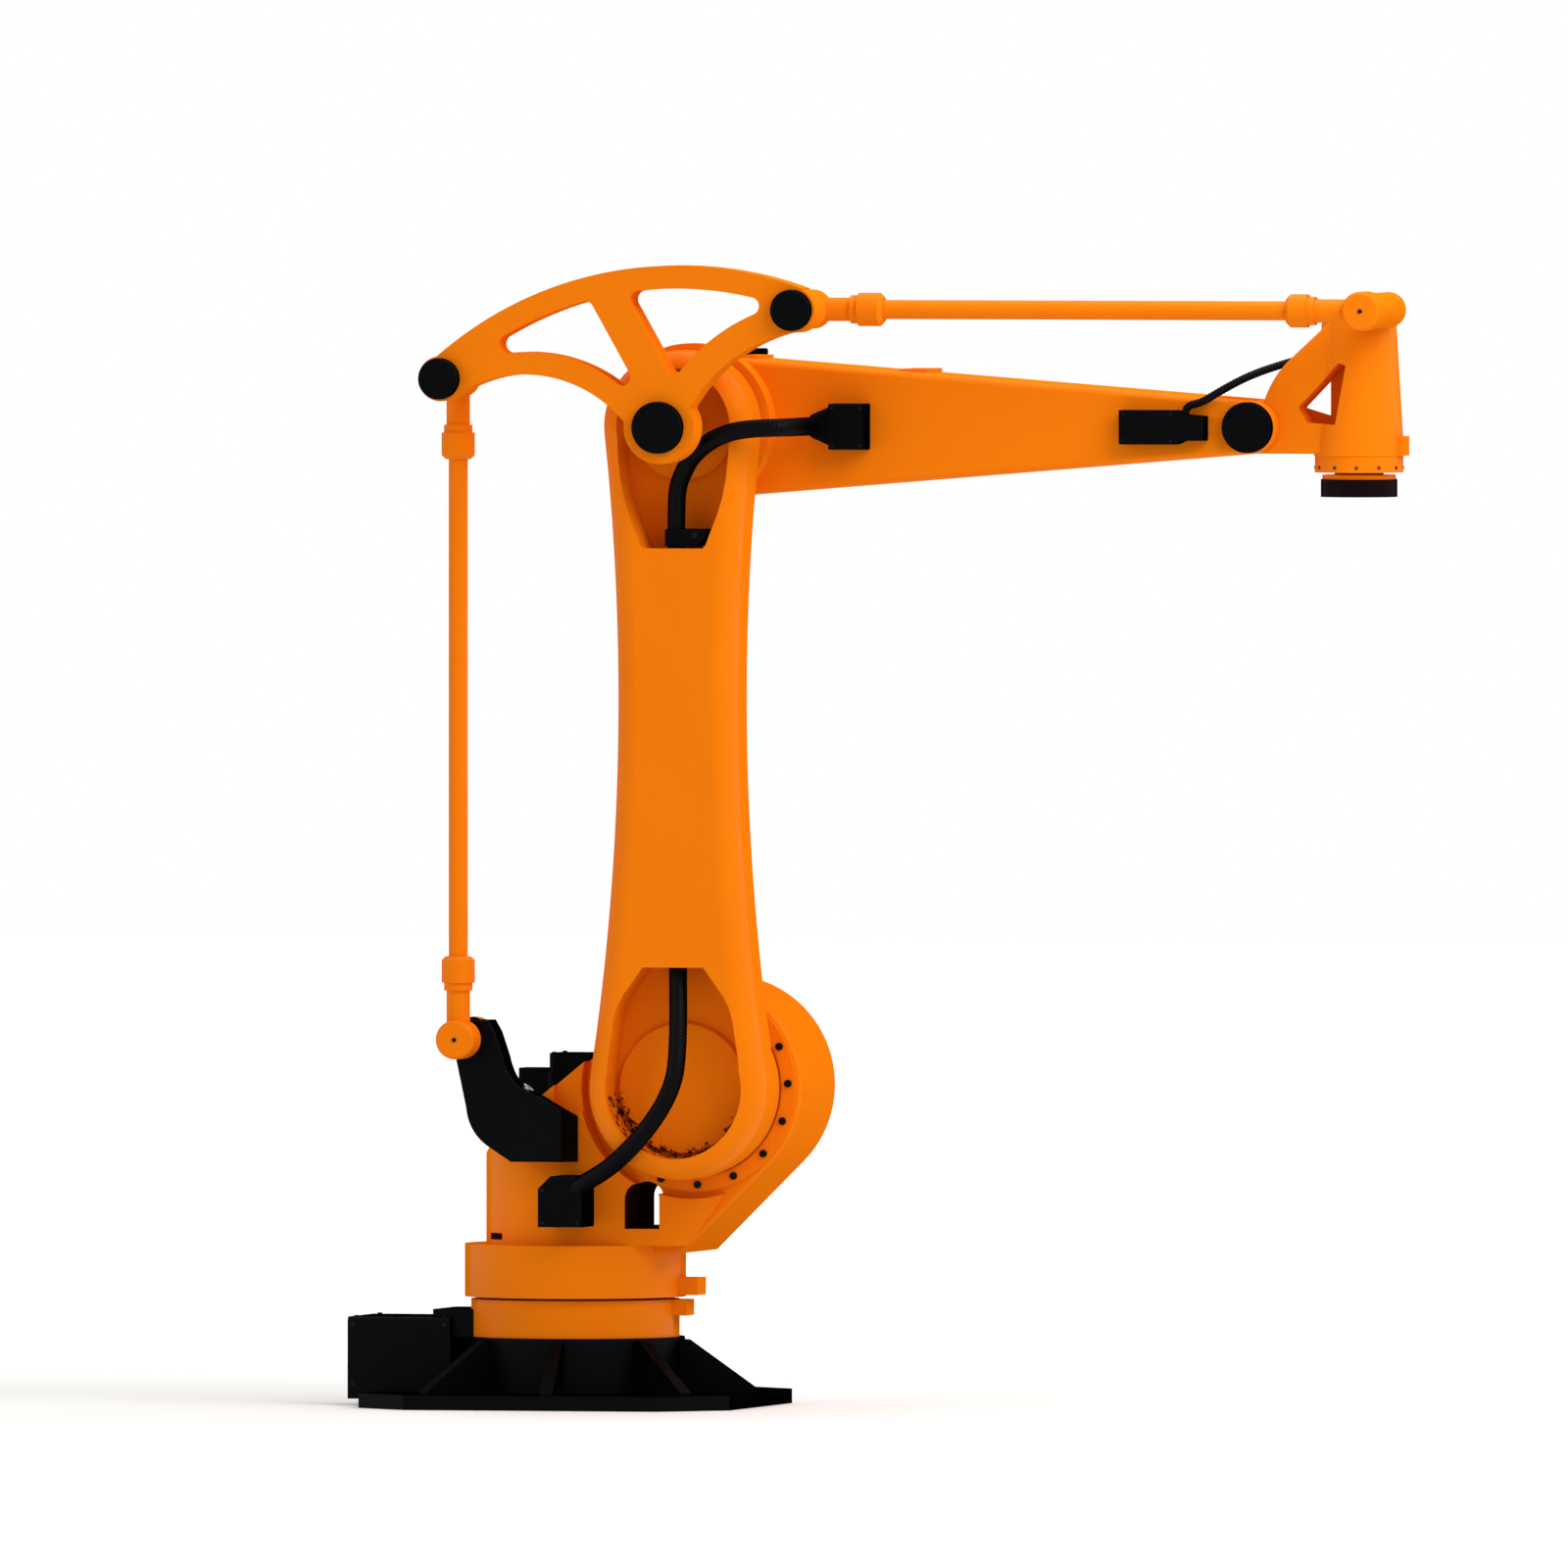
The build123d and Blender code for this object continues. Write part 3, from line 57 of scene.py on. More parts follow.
def linearColour(hexCode):
    channels = [int(hexCode[start:start + 2], 16) / 255 for start in (1, 3, 5)]
    return [c / 12.92 if c <= 0.04045 else ((c + 0.055) / 1.055) ** 2.4 for c in channels] + [1.0]


def perMetre(millimetres):
    return 1000 / millimetres


# adds a node, sets its properties, and sets or links its inputs
def addNode(tree, kind, settings=None, inputs=None):
    node = tree.nodes.new(kind)
    for key, value in (settings or {}).items():
        setattr(node, key, value)
    for key, value in (inputs or {}).items():
        if isinstance(value, bpy.types.NodeSocket):
            tree.links.new(value, node.inputs[key])
        else:
            node.inputs[key].default_value = value
    return node


def newMaterial(name, **sockets):
    material = bpy.data.materials.new(name)
    material.use_nodes = True
    tree = material.node_tree
    shader = tree.nodes["Principled BSDF"]
    for key, value in sockets.items():
        shader.inputs[key.replace("_", " ")].default_value = value
    place = addNode(tree, "ShaderNodeTexCoord").outputs["Object"]
    return material, tree, shader, place


def linkTo(tree, outlet, inlet):
    tree.links.new(outlet, inlet)


def maths(tree, operation, *values):
    return addNode(tree, "ShaderNodeMath", {"operation": operation}, dict(enumerate(values))).outputs[0]


def vectorMaths(tree, operation, *values):
    return addNode(tree, "ShaderNodeVectorMath", {"operation": operation}, dict(enumerate(values)))


def noise(tree, place, sizeMm, **inputs):
    grain = addNode(tree, "ShaderNodeTexNoise", inputs={"Vector": place, "Scale": perMetre(sizeMm), **inputs})
    return grain.outputs["Fac"]


# a value stretched from one span to another
def spanned(tree, value, source=(0.0, 1.0), target=(0.0, 1.0), curve="LINEAR"):
    node = addNode(tree, "ShaderNodeMapRange", {"interpolation_type": curve}, {
        "Value": value, "From Min": source[0], "From Max": source[1], "To Min": target[0], "To Max": target[1]})
    return node.outputs["Result"]


def mixedColour(tree, share, first, second):
    return addNode(tree, "ShaderNodeMix", {"data_type": "RGBA"}, {0: share, 6: first, 7: second}).outputs[2]


# relief is the strength and the depth in millimetres
def bump(tree, height, relief, under=None):
    strength, depthMm = relief
    inputs = {"Height": height, "Strength": strength, "Distance": depthMm / 1000}
    if under is not None:
        inputs["Normal"] = under
    return addNode(tree, "ShaderNodeBump", inputs=inputs).outputs["Normal"]


# Sheen of a dull film: strongest face on, and gone where the surface is seen edge on.
sheenFade = (0.25, 0.70)


def softSheen(tree, shader, level):
    slant = addNode(tree, "ShaderNodeLayerWeight", inputs={"Blend": 0.5}).outputs["Facing"]
    linkTo(tree, spanned(tree, slant, sheenFade, (level, 0.0)), shader.inputs["Specular IOR Level"])


# Old grease flung round a bearing: dark brown specks that thicken towards the rim of the bore and below its axis.
# Lengths are in metres from the centre.
shoulderGrime = {
    "centre": (0.280, -0.217, 0.655),
    "clean": 0.082,
    "rim": 0.136,
    "limit": 0.147,
    "top": 0.035,
    "bottom": -0.030,
    "depth": -0.060,
    "speckMm": 15,
    "amount": 0.34,
    "edge": 0.82,
    "edgeBlur": 0.05,
    "colour": "#3A1505",
}


def grimeOver(tree, place, colour, grime):
    across = vectorMaths(tree, "SUBTRACT", place, grime["centre"]).outputs[0]
    flat = vectorMaths(tree, "MULTIPLY", across, (1, 0, 1)).outputs[0]
    reach = vectorMaths(tree, "LENGTH", flat).outputs["Value"]
    apart = addNode(tree, "ShaderNodeSeparateXYZ", inputs={0: across}).outputs
    rim = spanned(tree, reach, (grime["clean"], grime["rim"]), curve="SMOOTHSTEP")
    low = spanned(tree, apart["Z"], (grime["top"], grime["bottom"]), curve="SMOOTHSTEP")
    inside = maths(tree, "GREATER_THAN", apart["Y"], grime["depth"])
    within = maths(tree, "LESS_THAN", reach, grime["limit"])
    bore = maths(tree, "MULTIPLY", inside, within)
    there = maths(tree, "MULTIPLY", maths(tree, "MULTIPLY", rim, low), bore)
    specks = noise(tree, place, grime["speckMm"], Detail=6.0, Roughness=0.72)
    height = maths(tree, "MULTIPLY_ADD", there, grime["amount"], specks)
    dirt = spanned(tree, height, (grime["edge"], grime["edge"] + grime["edgeBlur"]))
    return mixedColour(tree, dirt, colour, linearColour(grime["colour"]))


# Gloss enamel sprayed on cast iron: one warm orange, a shade deeper in patches where the film is thick,
# with the faint roll of the casting and an orange-peel skin in its highlights.
enamelLook = {
    "colour": "#F9810D",
    "thickFilm": "#F1790A",
    "sheen": "#FFA040",
    "sheenLevel": 0.2,
    "patchMm": 420,
    "castMm": 34,
    "castRelief": (0.25, 1.2),
    "peelMm": 5,  # real peel is about 2 mm, drawn coarser so that it shows
    "peelRelief": (0.12, 0.6),
    "rough": (0.34, 0.46),
}


def orangeEnamel(name="orangeEnamel", grime=None):
    look = enamelLook
    material, tree, shader, place = newMaterial(name, IOR=1.5, Specular_Tint=linearColour(look["sheen"]))
    softSheen(tree, shader, look["sheenLevel"])
    patches = noise(tree, place, look["patchMm"], Detail=3.0, Roughness=0.55)
    colour = mixedColour(tree, patches, linearColour(look["colour"]), linearColour(look["thickFilm"]))
    if grime:
        colour = grimeOver(tree, place, colour, grime)
    linkTo(tree, colour, shader.inputs["Base Color"])
    linkTo(tree, spanned(tree, patches, target=look["rough"]), shader.inputs["Roughness"])
    cast = bump(tree, noise(tree, place, look["castMm"], Detail=2.0), look["castRelief"])
    peel = bump(tree, noise(tree, place, look["peelMm"], Detail=1.0), look["peelRelief"], cast)
    linkTo(tree, peel, shader.inputs["Normal"])
    return material


# Black powder coat on steel plate and motor cases: near black, satin, with a fine baked grain.
coatLook = {
    "colour": "#020304",
    "worn": "#060708",
    "wornShare": (0.5, 0.8),
    "sheenLevel": 0.045,
    "patchMm": 160,
    "grainMm": 3,
    "grainRelief": (0.2, 0.5),
    "rough": (0.36, 0.52),
}
# the same coat on the tool flange, over red primer that shows through
flangeLook = {**coatLook, "colour": "#0E0203", "worn": "#2A0706", "patchMm": 120}


def blackPowderCoat(name="blackPowderCoat", look=coatLook):
    material, tree, shader, place = newMaterial(name, IOR=1.5)
    softSheen(tree, shader, look["sheenLevel"])
    patches = noise(tree, place, look["patchMm"], Detail=5.0, Roughness=0.6)
    worn = spanned(tree, patches, look["wornShare"])
    colour = mixedColour(tree, worn, linearColour(look["colour"]), linearColour(look["worn"]))
    linkTo(tree, colour, shader.inputs["Base Color"])
    linkTo(tree, spanned(tree, patches, target=look["rough"]), shader.inputs["Roughness"])
    grain = bump(tree, noise(tree, place, look["grainMm"], Detail=2.0), look["grainRelief"])
    linkTo(tree, grain, shader.inputs["Normal"])
    return material


# Black moulded nylon of boxes and caps: matt, with a spark-eroded mould texture.
nylonLook = {
    "colour": "#020304",
    "sheenLevel": 0.035,
    "textureMm": 2.5,
    "textureRelief": (0.15, 0.4),
    "rough": (0.44, 0.58),
}


def blackNylon():
    look = nylonLook
    material, tree, shader, place = newMaterial("blackNylon", IOR=1.53, Base_Color=linearColour(look["colour"]))
    softSheen(tree, shader, look["sheenLevel"])
    cells = addNode(tree, "ShaderNodeTexVoronoi", inputs={"Vector": place, "Scale": perMetre(look["textureMm"])})
    pits = cells.outputs["Distance"]
    linkTo(tree, bump(tree, pits, look["textureRelief"]), shader.inputs["Normal"])
    linkTo(tree, spanned(tree, pits, target=look["rough"]), shader.inputs["Roughness"])
    return material


# Extruded black rubber cover of the hoses: dull, with soft sheen along the top.
rubberLook = {"colour": "#020203", "sheenLevel": 0.06, "dustMm": 60, "rough": (0.34, 0.5)}


def hoseRubber():
    look = rubberLook
    material, tree, shader, place = newMaterial("hoseRubber", IOR=1.52, Base_Color=linearColour(look["colour"]))
    softSheen(tree, shader, look["sheenLevel"])
    dust = noise(tree, place, look["dustMm"], Detail=4.0)
    linkTo(tree, spanned(tree, dust, target=look["rough"]), shader.inputs["Roughness"])
    return material


# Bare steel: ground pins are bright grey with fine marks, and black-oxide screws are dark and oily.
pinLook = {"colour": "#A9ABAE", "markMm": 1.5, "rough": (0.25, 0.42)}
oxideLook = {"colour": "#1C1C1E", "markMm": 4, "rough": (0.35, 0.5)}


def bareSteel(name, look):
    material, tree, shader, place = newMaterial(name, Metallic=1.0, Base_Color=linearColour(look["colour"]))
    marks = noise(tree, place, look["markMm"], Detail=2.0)
    linkTo(tree, spanned(tree, marks, target=look["rough"]), shader.inputs["Roughness"])
    return material


# Inside of a cast slot: painted shade, a dark brown with a mottled tone, put on the inner walls where shadow falls.
slotShadeLook = {"colour": "#1E0B04", "rubbed": "#4A1C06", "skinMm": 24, "rough": 0.9}


def slotIron():
    look = slotShadeLook
    material, tree, shader, place = newMaterial("slotIron", Roughness=look["rough"], Specular_IOR_Level=0.0)
    mottle = noise(tree, place, look["skinMm"], Detail=4.0)
    colour = mixedColour(tree, mottle, linearColour(look["colour"]), linearColour(look["rubbed"]))
    linkTo(tree, colour, shader.inputs["Base Color"])
    return material


slotMaterial = {
    "orange_paint": orangeEnamel(),
    "black_paint": blackPowderCoat(),
    "black_plastic": blackNylon(),
    "black_hose": hoseRubber(),
    "steel": bareSteel("groundSteel", pinLook),
}
screwSteel = bareSteel("blackOxideSteel", oxideLook)
# the painted shade for the insides of the slot and the slit
paintedShadeMaterial = slotIron()
greasyEnamel = orangeEnamel("greasyEnamel", shoulderGrime)
nodeMaterial = {
    "shoulder_cover": greasyEnamel,
    "link_arm_casting": greasyEnamel,
    "tool_flange": blackPowderCoat("flangeCoat", flangeLook),
}
print("materials made:", len(bpy.data.materials))


def camelCase(words):
    first, *others = words.split("_")
    return first + "".join(word.capitalize() for word in others)


def addPiece(name, mesh, body, slotName, *nodes):
    piece = bpy.data.objects.new(name, mesh)
    scene.collection.objects.link(piece)
    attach(piece, body)
    if nodes:
        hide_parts(*nodes)
    return piece


# plain mesh of what an object shows, with its modifiers gone
def bakedMesh(holder, name):
    bpy.context.view_layer.update()
    graph = bpy.context.evaluated_depsgraph_get()
    mesh = bpy.data.meshes.new_from_object(holder.evaluated_get(graph), depsgraph=graph)
    mesh.name = name
    source = holder.data
    bpy.data.objects.remove(holder)
    if source.users == 0 and isinstance(source, bpy.types.Mesh):
        bpy.data.meshes.remove(source)
    return mesh


# Smooth-shaded copies of the castings and cases
shellFinish = {"mergeMm": 0.02, "sharpDegrees": 38}


# corner normals: the area-weighted mean of the faces round a point that lie within the sharp angle
def softenNormals(mesh):
    limit = math.cos(math.radians(shellFinish["sharpDegrees"]))
    faces = [(face.normal.copy(), face.area) for face in mesh.polygons]
    around = [[] for _ in mesh.vertices]
    for face in mesh.polygons:
        for vertex in face.vertices:
            around[vertex].append(face.index)
    normals = []
    for face in mesh.polygons:
        own = faces[face.index][0]
        for vertex in face.vertices:
            total = Vector()
            for other in around[vertex]:
                normal, area = faces[other]
                if normal.dot(own) > limit:
                    total += normal * area
            normals.append(total.normalized() if total.length > 0 else own)
    mesh.shade_smooth()
    mesh.normals_split_custom_set(normals)


# boxes (metres) whose faces get painted shade, per node: the housing's slot, and the slit at its foot
paintedShadeBoxes = {
    "carousel_casting": [
        ((0.140, -0.114, 0.355), (0.222, 0.300, 0.468)),
        ((-0.170, -0.1145, 0.338), (-0.120, -0.080, 0.358)),
    ],
}

# cuts of the visual copies, in millimetres: a side outline and the two depths that it runs between;
# the recesses of the link arm widen beyond their round parts, and the foot of the housing has a short slit
shoulderAxis = (280, 655)
elbowAxis = (280, 2005)
shoulderHalf = [(64, 248), (104, 192), (117, 168), (125, 140), (131, 100), (137, 60), (142, 0)]
elbowHalf = [(68, -243), (80, -212), (92, -182), (103, -146), (111, -106), (116, -56), (118, 0)]
footSlit = [(-175, 341), (-122, 341), (-119, 344), (-119, 352), (-122, 355), (-175, 355)]
recessDepths = (-203.2, -320.0)
slitDepths = (-98.0, -140.0)


def bothSides(axis, half):
    x, z = axis
    right = [(x + across, z + along) for across, along in half]
    left = [(x - across, z + along) for across, along in reversed(half)]
    return right + left


nodeCuts = {
    "link_arm_casting": [
        (bothSides(shoulderAxis, shoulderHalf), recessDepths),
        (bothSides(elbowAxis, elbowHalf), recessDepths),
    ],
    "carousel_casting": [(footSlit, slitDepths)],
}


def prismCutter(outline, depths):
    count = len(outline)
    points = [(x / 1000, y / 1000, z / 1000) for y in depths for x, z in outline]
    faces = [tuple(range(count)), tuple(range(2 * count - 1, count - 1, -1))]
    faces += [(i, i + count, (i + 1) % count + count, (i + 1) % count) for i in range(count)]
    mesh = bpy.data.meshes.new("prismCutter")
    mesh.from_pydata(points, [], faces)
    shape = bmesh.new()
    shape.from_mesh(mesh)
    bmesh.ops.recalc_face_normals(shape, faces=shape.faces)
    shape.to_mesh(mesh)
    shape.free()
    cutter = bpy.data.objects.new("prismCutter", mesh)
    scene.collection.objects.link(cutter)
    return cutter


def cutMesh(mesh, cutter):
    holder = bpy.data.objects.new(mesh.name, mesh)
    scene.collection.objects.link(holder)
    modifier = holder.modifiers.new("cut", "BOOLEAN")
    modifier.operation = "DIFFERENCE"
    modifier.solver = "EXACT"
    modifier.object = cutter
    remains = bakedMesh(holder, mesh.name)
    bpy.data.meshes.remove(cutter.data)
    return remains


def finishNode(node, material):
    shape = bmesh.new()
    shape.from_mesh(frame["nodes"][node].data)
    bmesh.ops.remove_doubles(shape, verts=shape.verts, dist=shellFinish["mergeMm"] / 1000)
    name = camelCase(node)
    mesh = bpy.data.meshes.new(name)
    shape.to_mesh(mesh)
    shape.free()
    for outline, depths in nodeCuts.get(node, []):
        mesh = cutMesh(mesh, prismCutter(outline, depths))
    mesh.materials.clear()
    mesh.materials.append(material)
    # faces inside these boxes take the painted shade instead of the paint
    if node in paintedShadeBoxes:
        mesh.materials.append(paintedShadeMaterial)
        for face in mesh.polygons:
            for low, high in paintedShadeBoxes[node]:
                if all(a <= c <= b for a, c, b in zip(low, face.center, high)):
                    face.material_index = 1
    softenNormals(mesh)
    return addPiece(name, mesh, nodeBody[node], nodeSlot[node], node)


hoseNodes = [node for node, slotName in nodeSlot.items() if slotName == "black_hose"]
for node in nodeSlot:
    if node not in hoseNodes:
        finishNode(node, nodeMaterial.get(node, slotMaterial[nodeSlot[node]]))
print("castings and cases finished:", len(nodeSlot) - len(hoseNodes))

# Hoses: smooth lines through the routes of the solids, as ringed conduit, in metres.
# A blend gives two points on the route, where the hose goes from one body to the next.
hoseRoutes = {
    "lowerHose": {
        "radius": 0.0188,
        "points": [(0.030, -0.262, 0.432), (0.128, -0.290, 0.480), (0.190, -0.316, 0.529), (0.235, -0.326, 0.577),
                   (0.268, -0.326, 0.625), (0.288, -0.322, 0.673), (0.293, -0.314, 0.721), (0.291, -0.296, 0.792),
                   (0.283, -0.266, 0.864), (0.279, -0.250, 0.930), (0.280, -0.250, 0.962)],
        "blend": ((0.10, -0.285, 0.475), (0.28, -0.25, 0.90)),
    },
    # the loop stays before the link arm until it is past its edge
    "elbowHose": {
        "radius": 0.0188,
        "points": [(0.275, -0.250, 1.728), (0.275, -0.250, 1.847), (0.281, -0.258, 1.885), (0.294, -0.270, 1.910),
                   (0.313, -0.287, 1.938), (0.3255, -0.2965, 1.949), (0.338, -0.306, 1.960), (0.373, -0.323, 1.982),
                   (0.410, -0.325, 1.996), (0.450, -0.326, 2.002), (0.490, -0.326, 2.004), (0.517, -0.312, 2.0045),
                   (0.529, -0.272, 2.005), (0.532, -0.215, 2.005), (0.535, -0.165, 2.005), (0.546, -0.136, 2.005),
                   (0.566, -0.129, 2.005)],
        "joint": 5,
        "lowerStart": (0.277, -0.25, 1.80),
        "upperBlend": ((0.40, -0.326, 1.99), (0.566, -0.129, 2.005)),
    },
    "wristHose": {
        "radius": 0.0085,
        "points": [(1.310, -0.122, 2.023), (1.310, -0.122, 2.0485), (1.344, -0.118, 2.055), (1.383, -0.108, 2.080),
                   (1.430, -0.088, 2.107), (1.482, -0.052, 2.129), (1.560, -0.014, 2.153)],
        "blend": ((1.32, -0.121, 2.050), (1.50, -0.04, 2.135)),
    },
}
conduit = {"pitch": 0.007, "groove": 0.0009, "sides": 24}


def conduitTree():
    tree = bpy.data.node_groups.new("ringedConduit", "GeometryNodeTree")
    face = tree.interface
    face.new_socket("Geometry", in_out="INPUT", socket_type="NodeSocketGeometry")
    for label in ("Radius", "Pitch", "Groove"):
        face.new_socket(label, in_out="INPUT", socket_type="NodeSocketFloat")
    face.new_socket("Sides", in_out="INPUT", socket_type="NodeSocketInt")
    face.new_socket("Material", in_out="INPUT", socket_type="NodeSocketMaterial")
    face.new_socket("Geometry", in_out="OUTPUT", socket_type="NodeSocketGeometry")
    given = addNode(tree, "NodeGroupInput").outputs
    even = addNode(tree, "GeometryNodeResampleCurve", {"mode": "LENGTH"}, {
        "Curve": given["Geometry"], "Length": maths(tree, "MULTIPLY", given["Pitch"], 0.25)})
    along = addNode(tree, "GeometryNodeSplineParameter")
    turns = maths(tree, "DIVIDE", along.outputs["Length"], given["Pitch"])
    wave = maths(tree, "COSINE", maths(tree, "MULTIPLY", turns, 2 * math.pi))
    depth = maths(tree, "MULTIPLY_ADD", wave, -0.5, 0.5)
    size = maths(tree, "SUBTRACT", given["Radius"], maths(tree, "MULTIPLY", depth, given["Groove"]))
    ringed = addNode(tree, "GeometryNodeSetCurveRadius", inputs={"Curve": even.outputs[0], "Radius": size})
    profile = addNode(tree, "GeometryNodeCurvePrimitiveCircle", inputs={"Resolution": given["Sides"], "Radius": 1.0})
    reach = addNode(tree, "GeometryNodeInputRadius")
    tube = addNode(tree, "GeometryNodeCurveToMesh", inputs={
        "Curve": ringed.outputs[0], "Profile Curve": profile.outputs[0], "Scale": reach.outputs[0], "Fill Caps": True})
    smooth = addNode(tree, "GeometryNodeSetShadeSmooth", inputs={"Geometry": tube.outputs[0]})
    real = addNode(tree, "GeometryNodeRealizeInstances", inputs={"Geometry": smooth.outputs[0]})
    dressed = addNode(tree, "GeometryNodeSetMaterial", inputs={
        "Geometry": real.outputs[0], "Material": given["Material"]})
    addNode(tree, "NodeGroupOutput", inputs={"Geometry": dressed.outputs[0]})
    return tree


def setInputs(modifier, values):
    for item in modifier.node_group.interface.items_tree:
        if item.item_type == "SOCKET" and item.in_out == "INPUT" and item.name in values:
            modifier[item.identifier] = values[item.name]


def splineObject(name, points, kind):
    curve = bpy.data.curves.new(name, "CURVE")
    curve.dimensions = "3D"
    curve.resolution_u = 40
    spline = curve.splines.new(kind)
    spline.points.add(len(points) - 1)
    for place, point in zip(spline.points, points):
        place.co = (*point, 1.0)
    if kind == "NURBS":
        spline.order_u = 3
        spline.use_endpoint_u = True
    holder = bpy.data.objects.new(name, curve)
    scene.collection.objects.link(holder)
    return holder


def routePoints(name, points):
    line = bakedMesh(splineObject(name + "Route", points, "NURBS"), name + "Line")
    places = [vertex.co.copy() for vertex in line.vertices]
    bpy.data.meshes.remove(line)
    return places


conduitNodes = conduitTree()


def hoseMesh(name, places, radius):
    holder = splineObject(name + "Path", places, "POLY")
    modifier = holder.modifiers.new("ringedConduit", "NODES")
    modifier.node_group = conduitNodes
    setInputs(modifier, {
        "Radius": radius, "Pitch": conduit["pitch"], "Groove": conduit["groove"], "Sides": conduit["sides"],
        "Material": slotMaterial["black_hose"]})
    return bakedMesh(holder, name)


def bentHose(name, places, radius, bodies, start, end, node):
    piece = bpy.data.objects.new(name, hoseMesh(name, places, radius))
    scene.collection.objects.link(piece)
    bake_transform(piece)
    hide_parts(node)


route = hoseRoutes["lowerHose"]
places = routePoints("lowerHose", route["points"])
bentHose("lowerHose", places, route["radius"], ("carousel", "link_arm"), *route["blend"], "lower_hose")

# the elbow hose crosses two joints, so it is made in two lengths that meet on the rocker
route = hoseRoutes["elbowHose"]
places = routePoints("elbowHose", route["points"])
joint = Vector(route["points"][route["joint"]])
meeting = min(range(len(places)), key=lambda index: (places[index] - joint).length)
bentHose("elbowHoseLower", places[:meeting + 1], route["radius"], ("link_arm", "rocker"), route["lowerStart"],
         places[meeting], "elbow_hose_lower")
bentHose("elbowHoseUpper", places[meeting:], route["radius"], ("rocker", "arm"), *route["upperBlend"],
         "elbow_hose_upper")

route = hoseRoutes["wristHose"]
places = routePoints("wristHose", route["points"])
bentHose("wristHose", places, route["radius"], ("arm", "wrist"), *route["blend"], "wrist_hose")
print("hoses made:", len(hoseNodes))

# Cap screws: each point carries its axis and head radius, and one node tree sets the heads.
# Shares are of the head radius.
screwHead = {"sides": 20, "height": 1.1, "socketShare": 0.52, "socketDepth": 0.5}


def screwTree():
    tree = bpy.data.node_groups.new("socketScrews", "GeometryNodeTree")
    face = tree.interface
    face.new_socket("Geometry", in_out="INPUT", socket_type="NodeSocketGeometry")
    face.new_socket("Sides", in_out="INPUT", socket_type="NodeSocketInt")
    for label in ("Height", "Socket Share", "Socket Depth"):
        face.new_socket(label, in_out="INPUT", socket_type="NodeSocketFloat")
    face.new_socket("Material", in_out="INPUT", socket_type="NodeSocketMaterial")
    face.new_socket("Geometry", in_out="OUTPUT", socket_type="NodeSocketGeometry")
    given = addNode(tree, "NodeGroupInput").outputs
    head = addNode(tree, "GeometryNodeMeshCylinder", {"fill_type": "NGON"}, {
        "Vertices": given["Sides"], "Radius": 1.0, "Depth": given["Height"]})
    rim = addNode(tree, "GeometryNodeExtrudeMesh", {"mode": "FACES"}, {
        "Mesh": head.outputs["Mesh"], "Selection": head.outputs["Top"], "Offset Scale": 0.0})
    inset = addNode(tree, "GeometryNodeScaleElements", {"domain": "FACE"}, {
        "Geometry": rim.outputs["Mesh"], "Selection": rim.outputs["Top"], "Scale": given["Socket Share"]})
    socket = addNode(tree, "GeometryNodeExtrudeMesh", {"mode": "FACES"}, {
        "Mesh": inset.outputs[0], "Selection": rim.outputs["Top"],
        "Offset Scale": maths(tree, "MULTIPLY", given["Socket Depth"], -1.0)})
    axis = addNode(tree, "GeometryNodeInputNamedAttribute", {"data_type": "FLOAT_VECTOR"}, {"Name": "axis"})
    size = addNode(tree, "GeometryNodeInputNamedAttribute", {"data_type": "FLOAT"}, {"Name": "headRadius"})
    turn = addNode(tree, "FunctionNodeAlignRotationToVector", {"axis": "Z"}, {"Vector": axis.outputs[0]})
    spread = addNode(tree, "GeometryNodeInstanceOnPoints", inputs={
        "Points": given["Geometry"], "Instance": socket.outputs["Mesh"], "Rotation": turn.outputs[0],
        "Scale": size.outputs[0]})
    real = addNode(tree, "GeometryNodeRealizeInstances", inputs={"Geometry": spread.outputs[0]})
    dressed = addNode(tree, "GeometryNodeSetMaterial", inputs={
        "Geometry": real.outputs[0], "Material": given["Material"]})
    addNode(tree, "NodeGroupOutput", inputs={"Geometry": dressed.outputs[0]})
    return tree


screwNodes = screwTree()


def addScrews(name, body, screws, material):
    mesh = bpy.data.meshes.new(name + "Points")
    mesh.from_pydata([place for place, axis, radius in screws], [], [])
    mesh.attributes.new("axis", "FLOAT_VECTOR", "POINT")
    mesh.attributes.new("headRadius", "FLOAT", "POINT")
    for index, (place, axis, radius) in enumerate(screws):
        mesh.attributes["axis"].data[index].vector = axis
        mesh.attributes["headRadius"].data[index].value = radius
    holder = bpy.data.objects.new(name + "Points", mesh)
    scene.collection.objects.link(holder)
    modifier = holder.modifiers.new("socketScrews", "NODES")
    modifier.node_group = screwNodes
    setInputs(modifier, {
        "Sides": screwHead["sides"], "Height": screwHead["height"], "Socket Share": screwHead["socketShare"],
        "Socket Depth": screwHead["socketDepth"], "Material": material})
    return addPiece(name, bakedMesh(holder, name), body, "steel")


sideAxes = {"near": (0, -1, 0), "far": (0, 1, 0), "up": (0, 0, 1)}


# points in the plane across the axis: x and z for a side face, x and y for a level one
def onFace(centre, across, along, side):
    x, y, z = centre
    return (x + across, y, z + along) if side in ("near", "far") else (x + across, y + along, z)


def evenTurns(count, start):
    return [math.radians(start + 360 * index / count) for index in range(count)]


def screwRing(centre, side, circle, count, start, radius):
    return [(onFace(centre, circle * math.cos(a), circle * math.sin(a), side), sideAxes[side], radius)
            for a in evenTurns(count, start)]


def screwSquare(centre, side, halfWidth, halfHeight, radius):
    signs = [(-1, -1), (1, -1), (1, 1), (-1, 1)]
    return [(onFace(centre, halfWidth * a, halfHeight * b, side), sideAxes[side], radius) for a, b in signs]


# screws that point outwards round an upright collar
def collarScrews(centre, circle, count, start, radius):
    x, y, z = centre
    return [((x + circle * math.cos(a), y + circle * math.sin(a), z), (math.cos(a), math.sin(a), 0), radius)
            for a in evenTurns(count, start)]


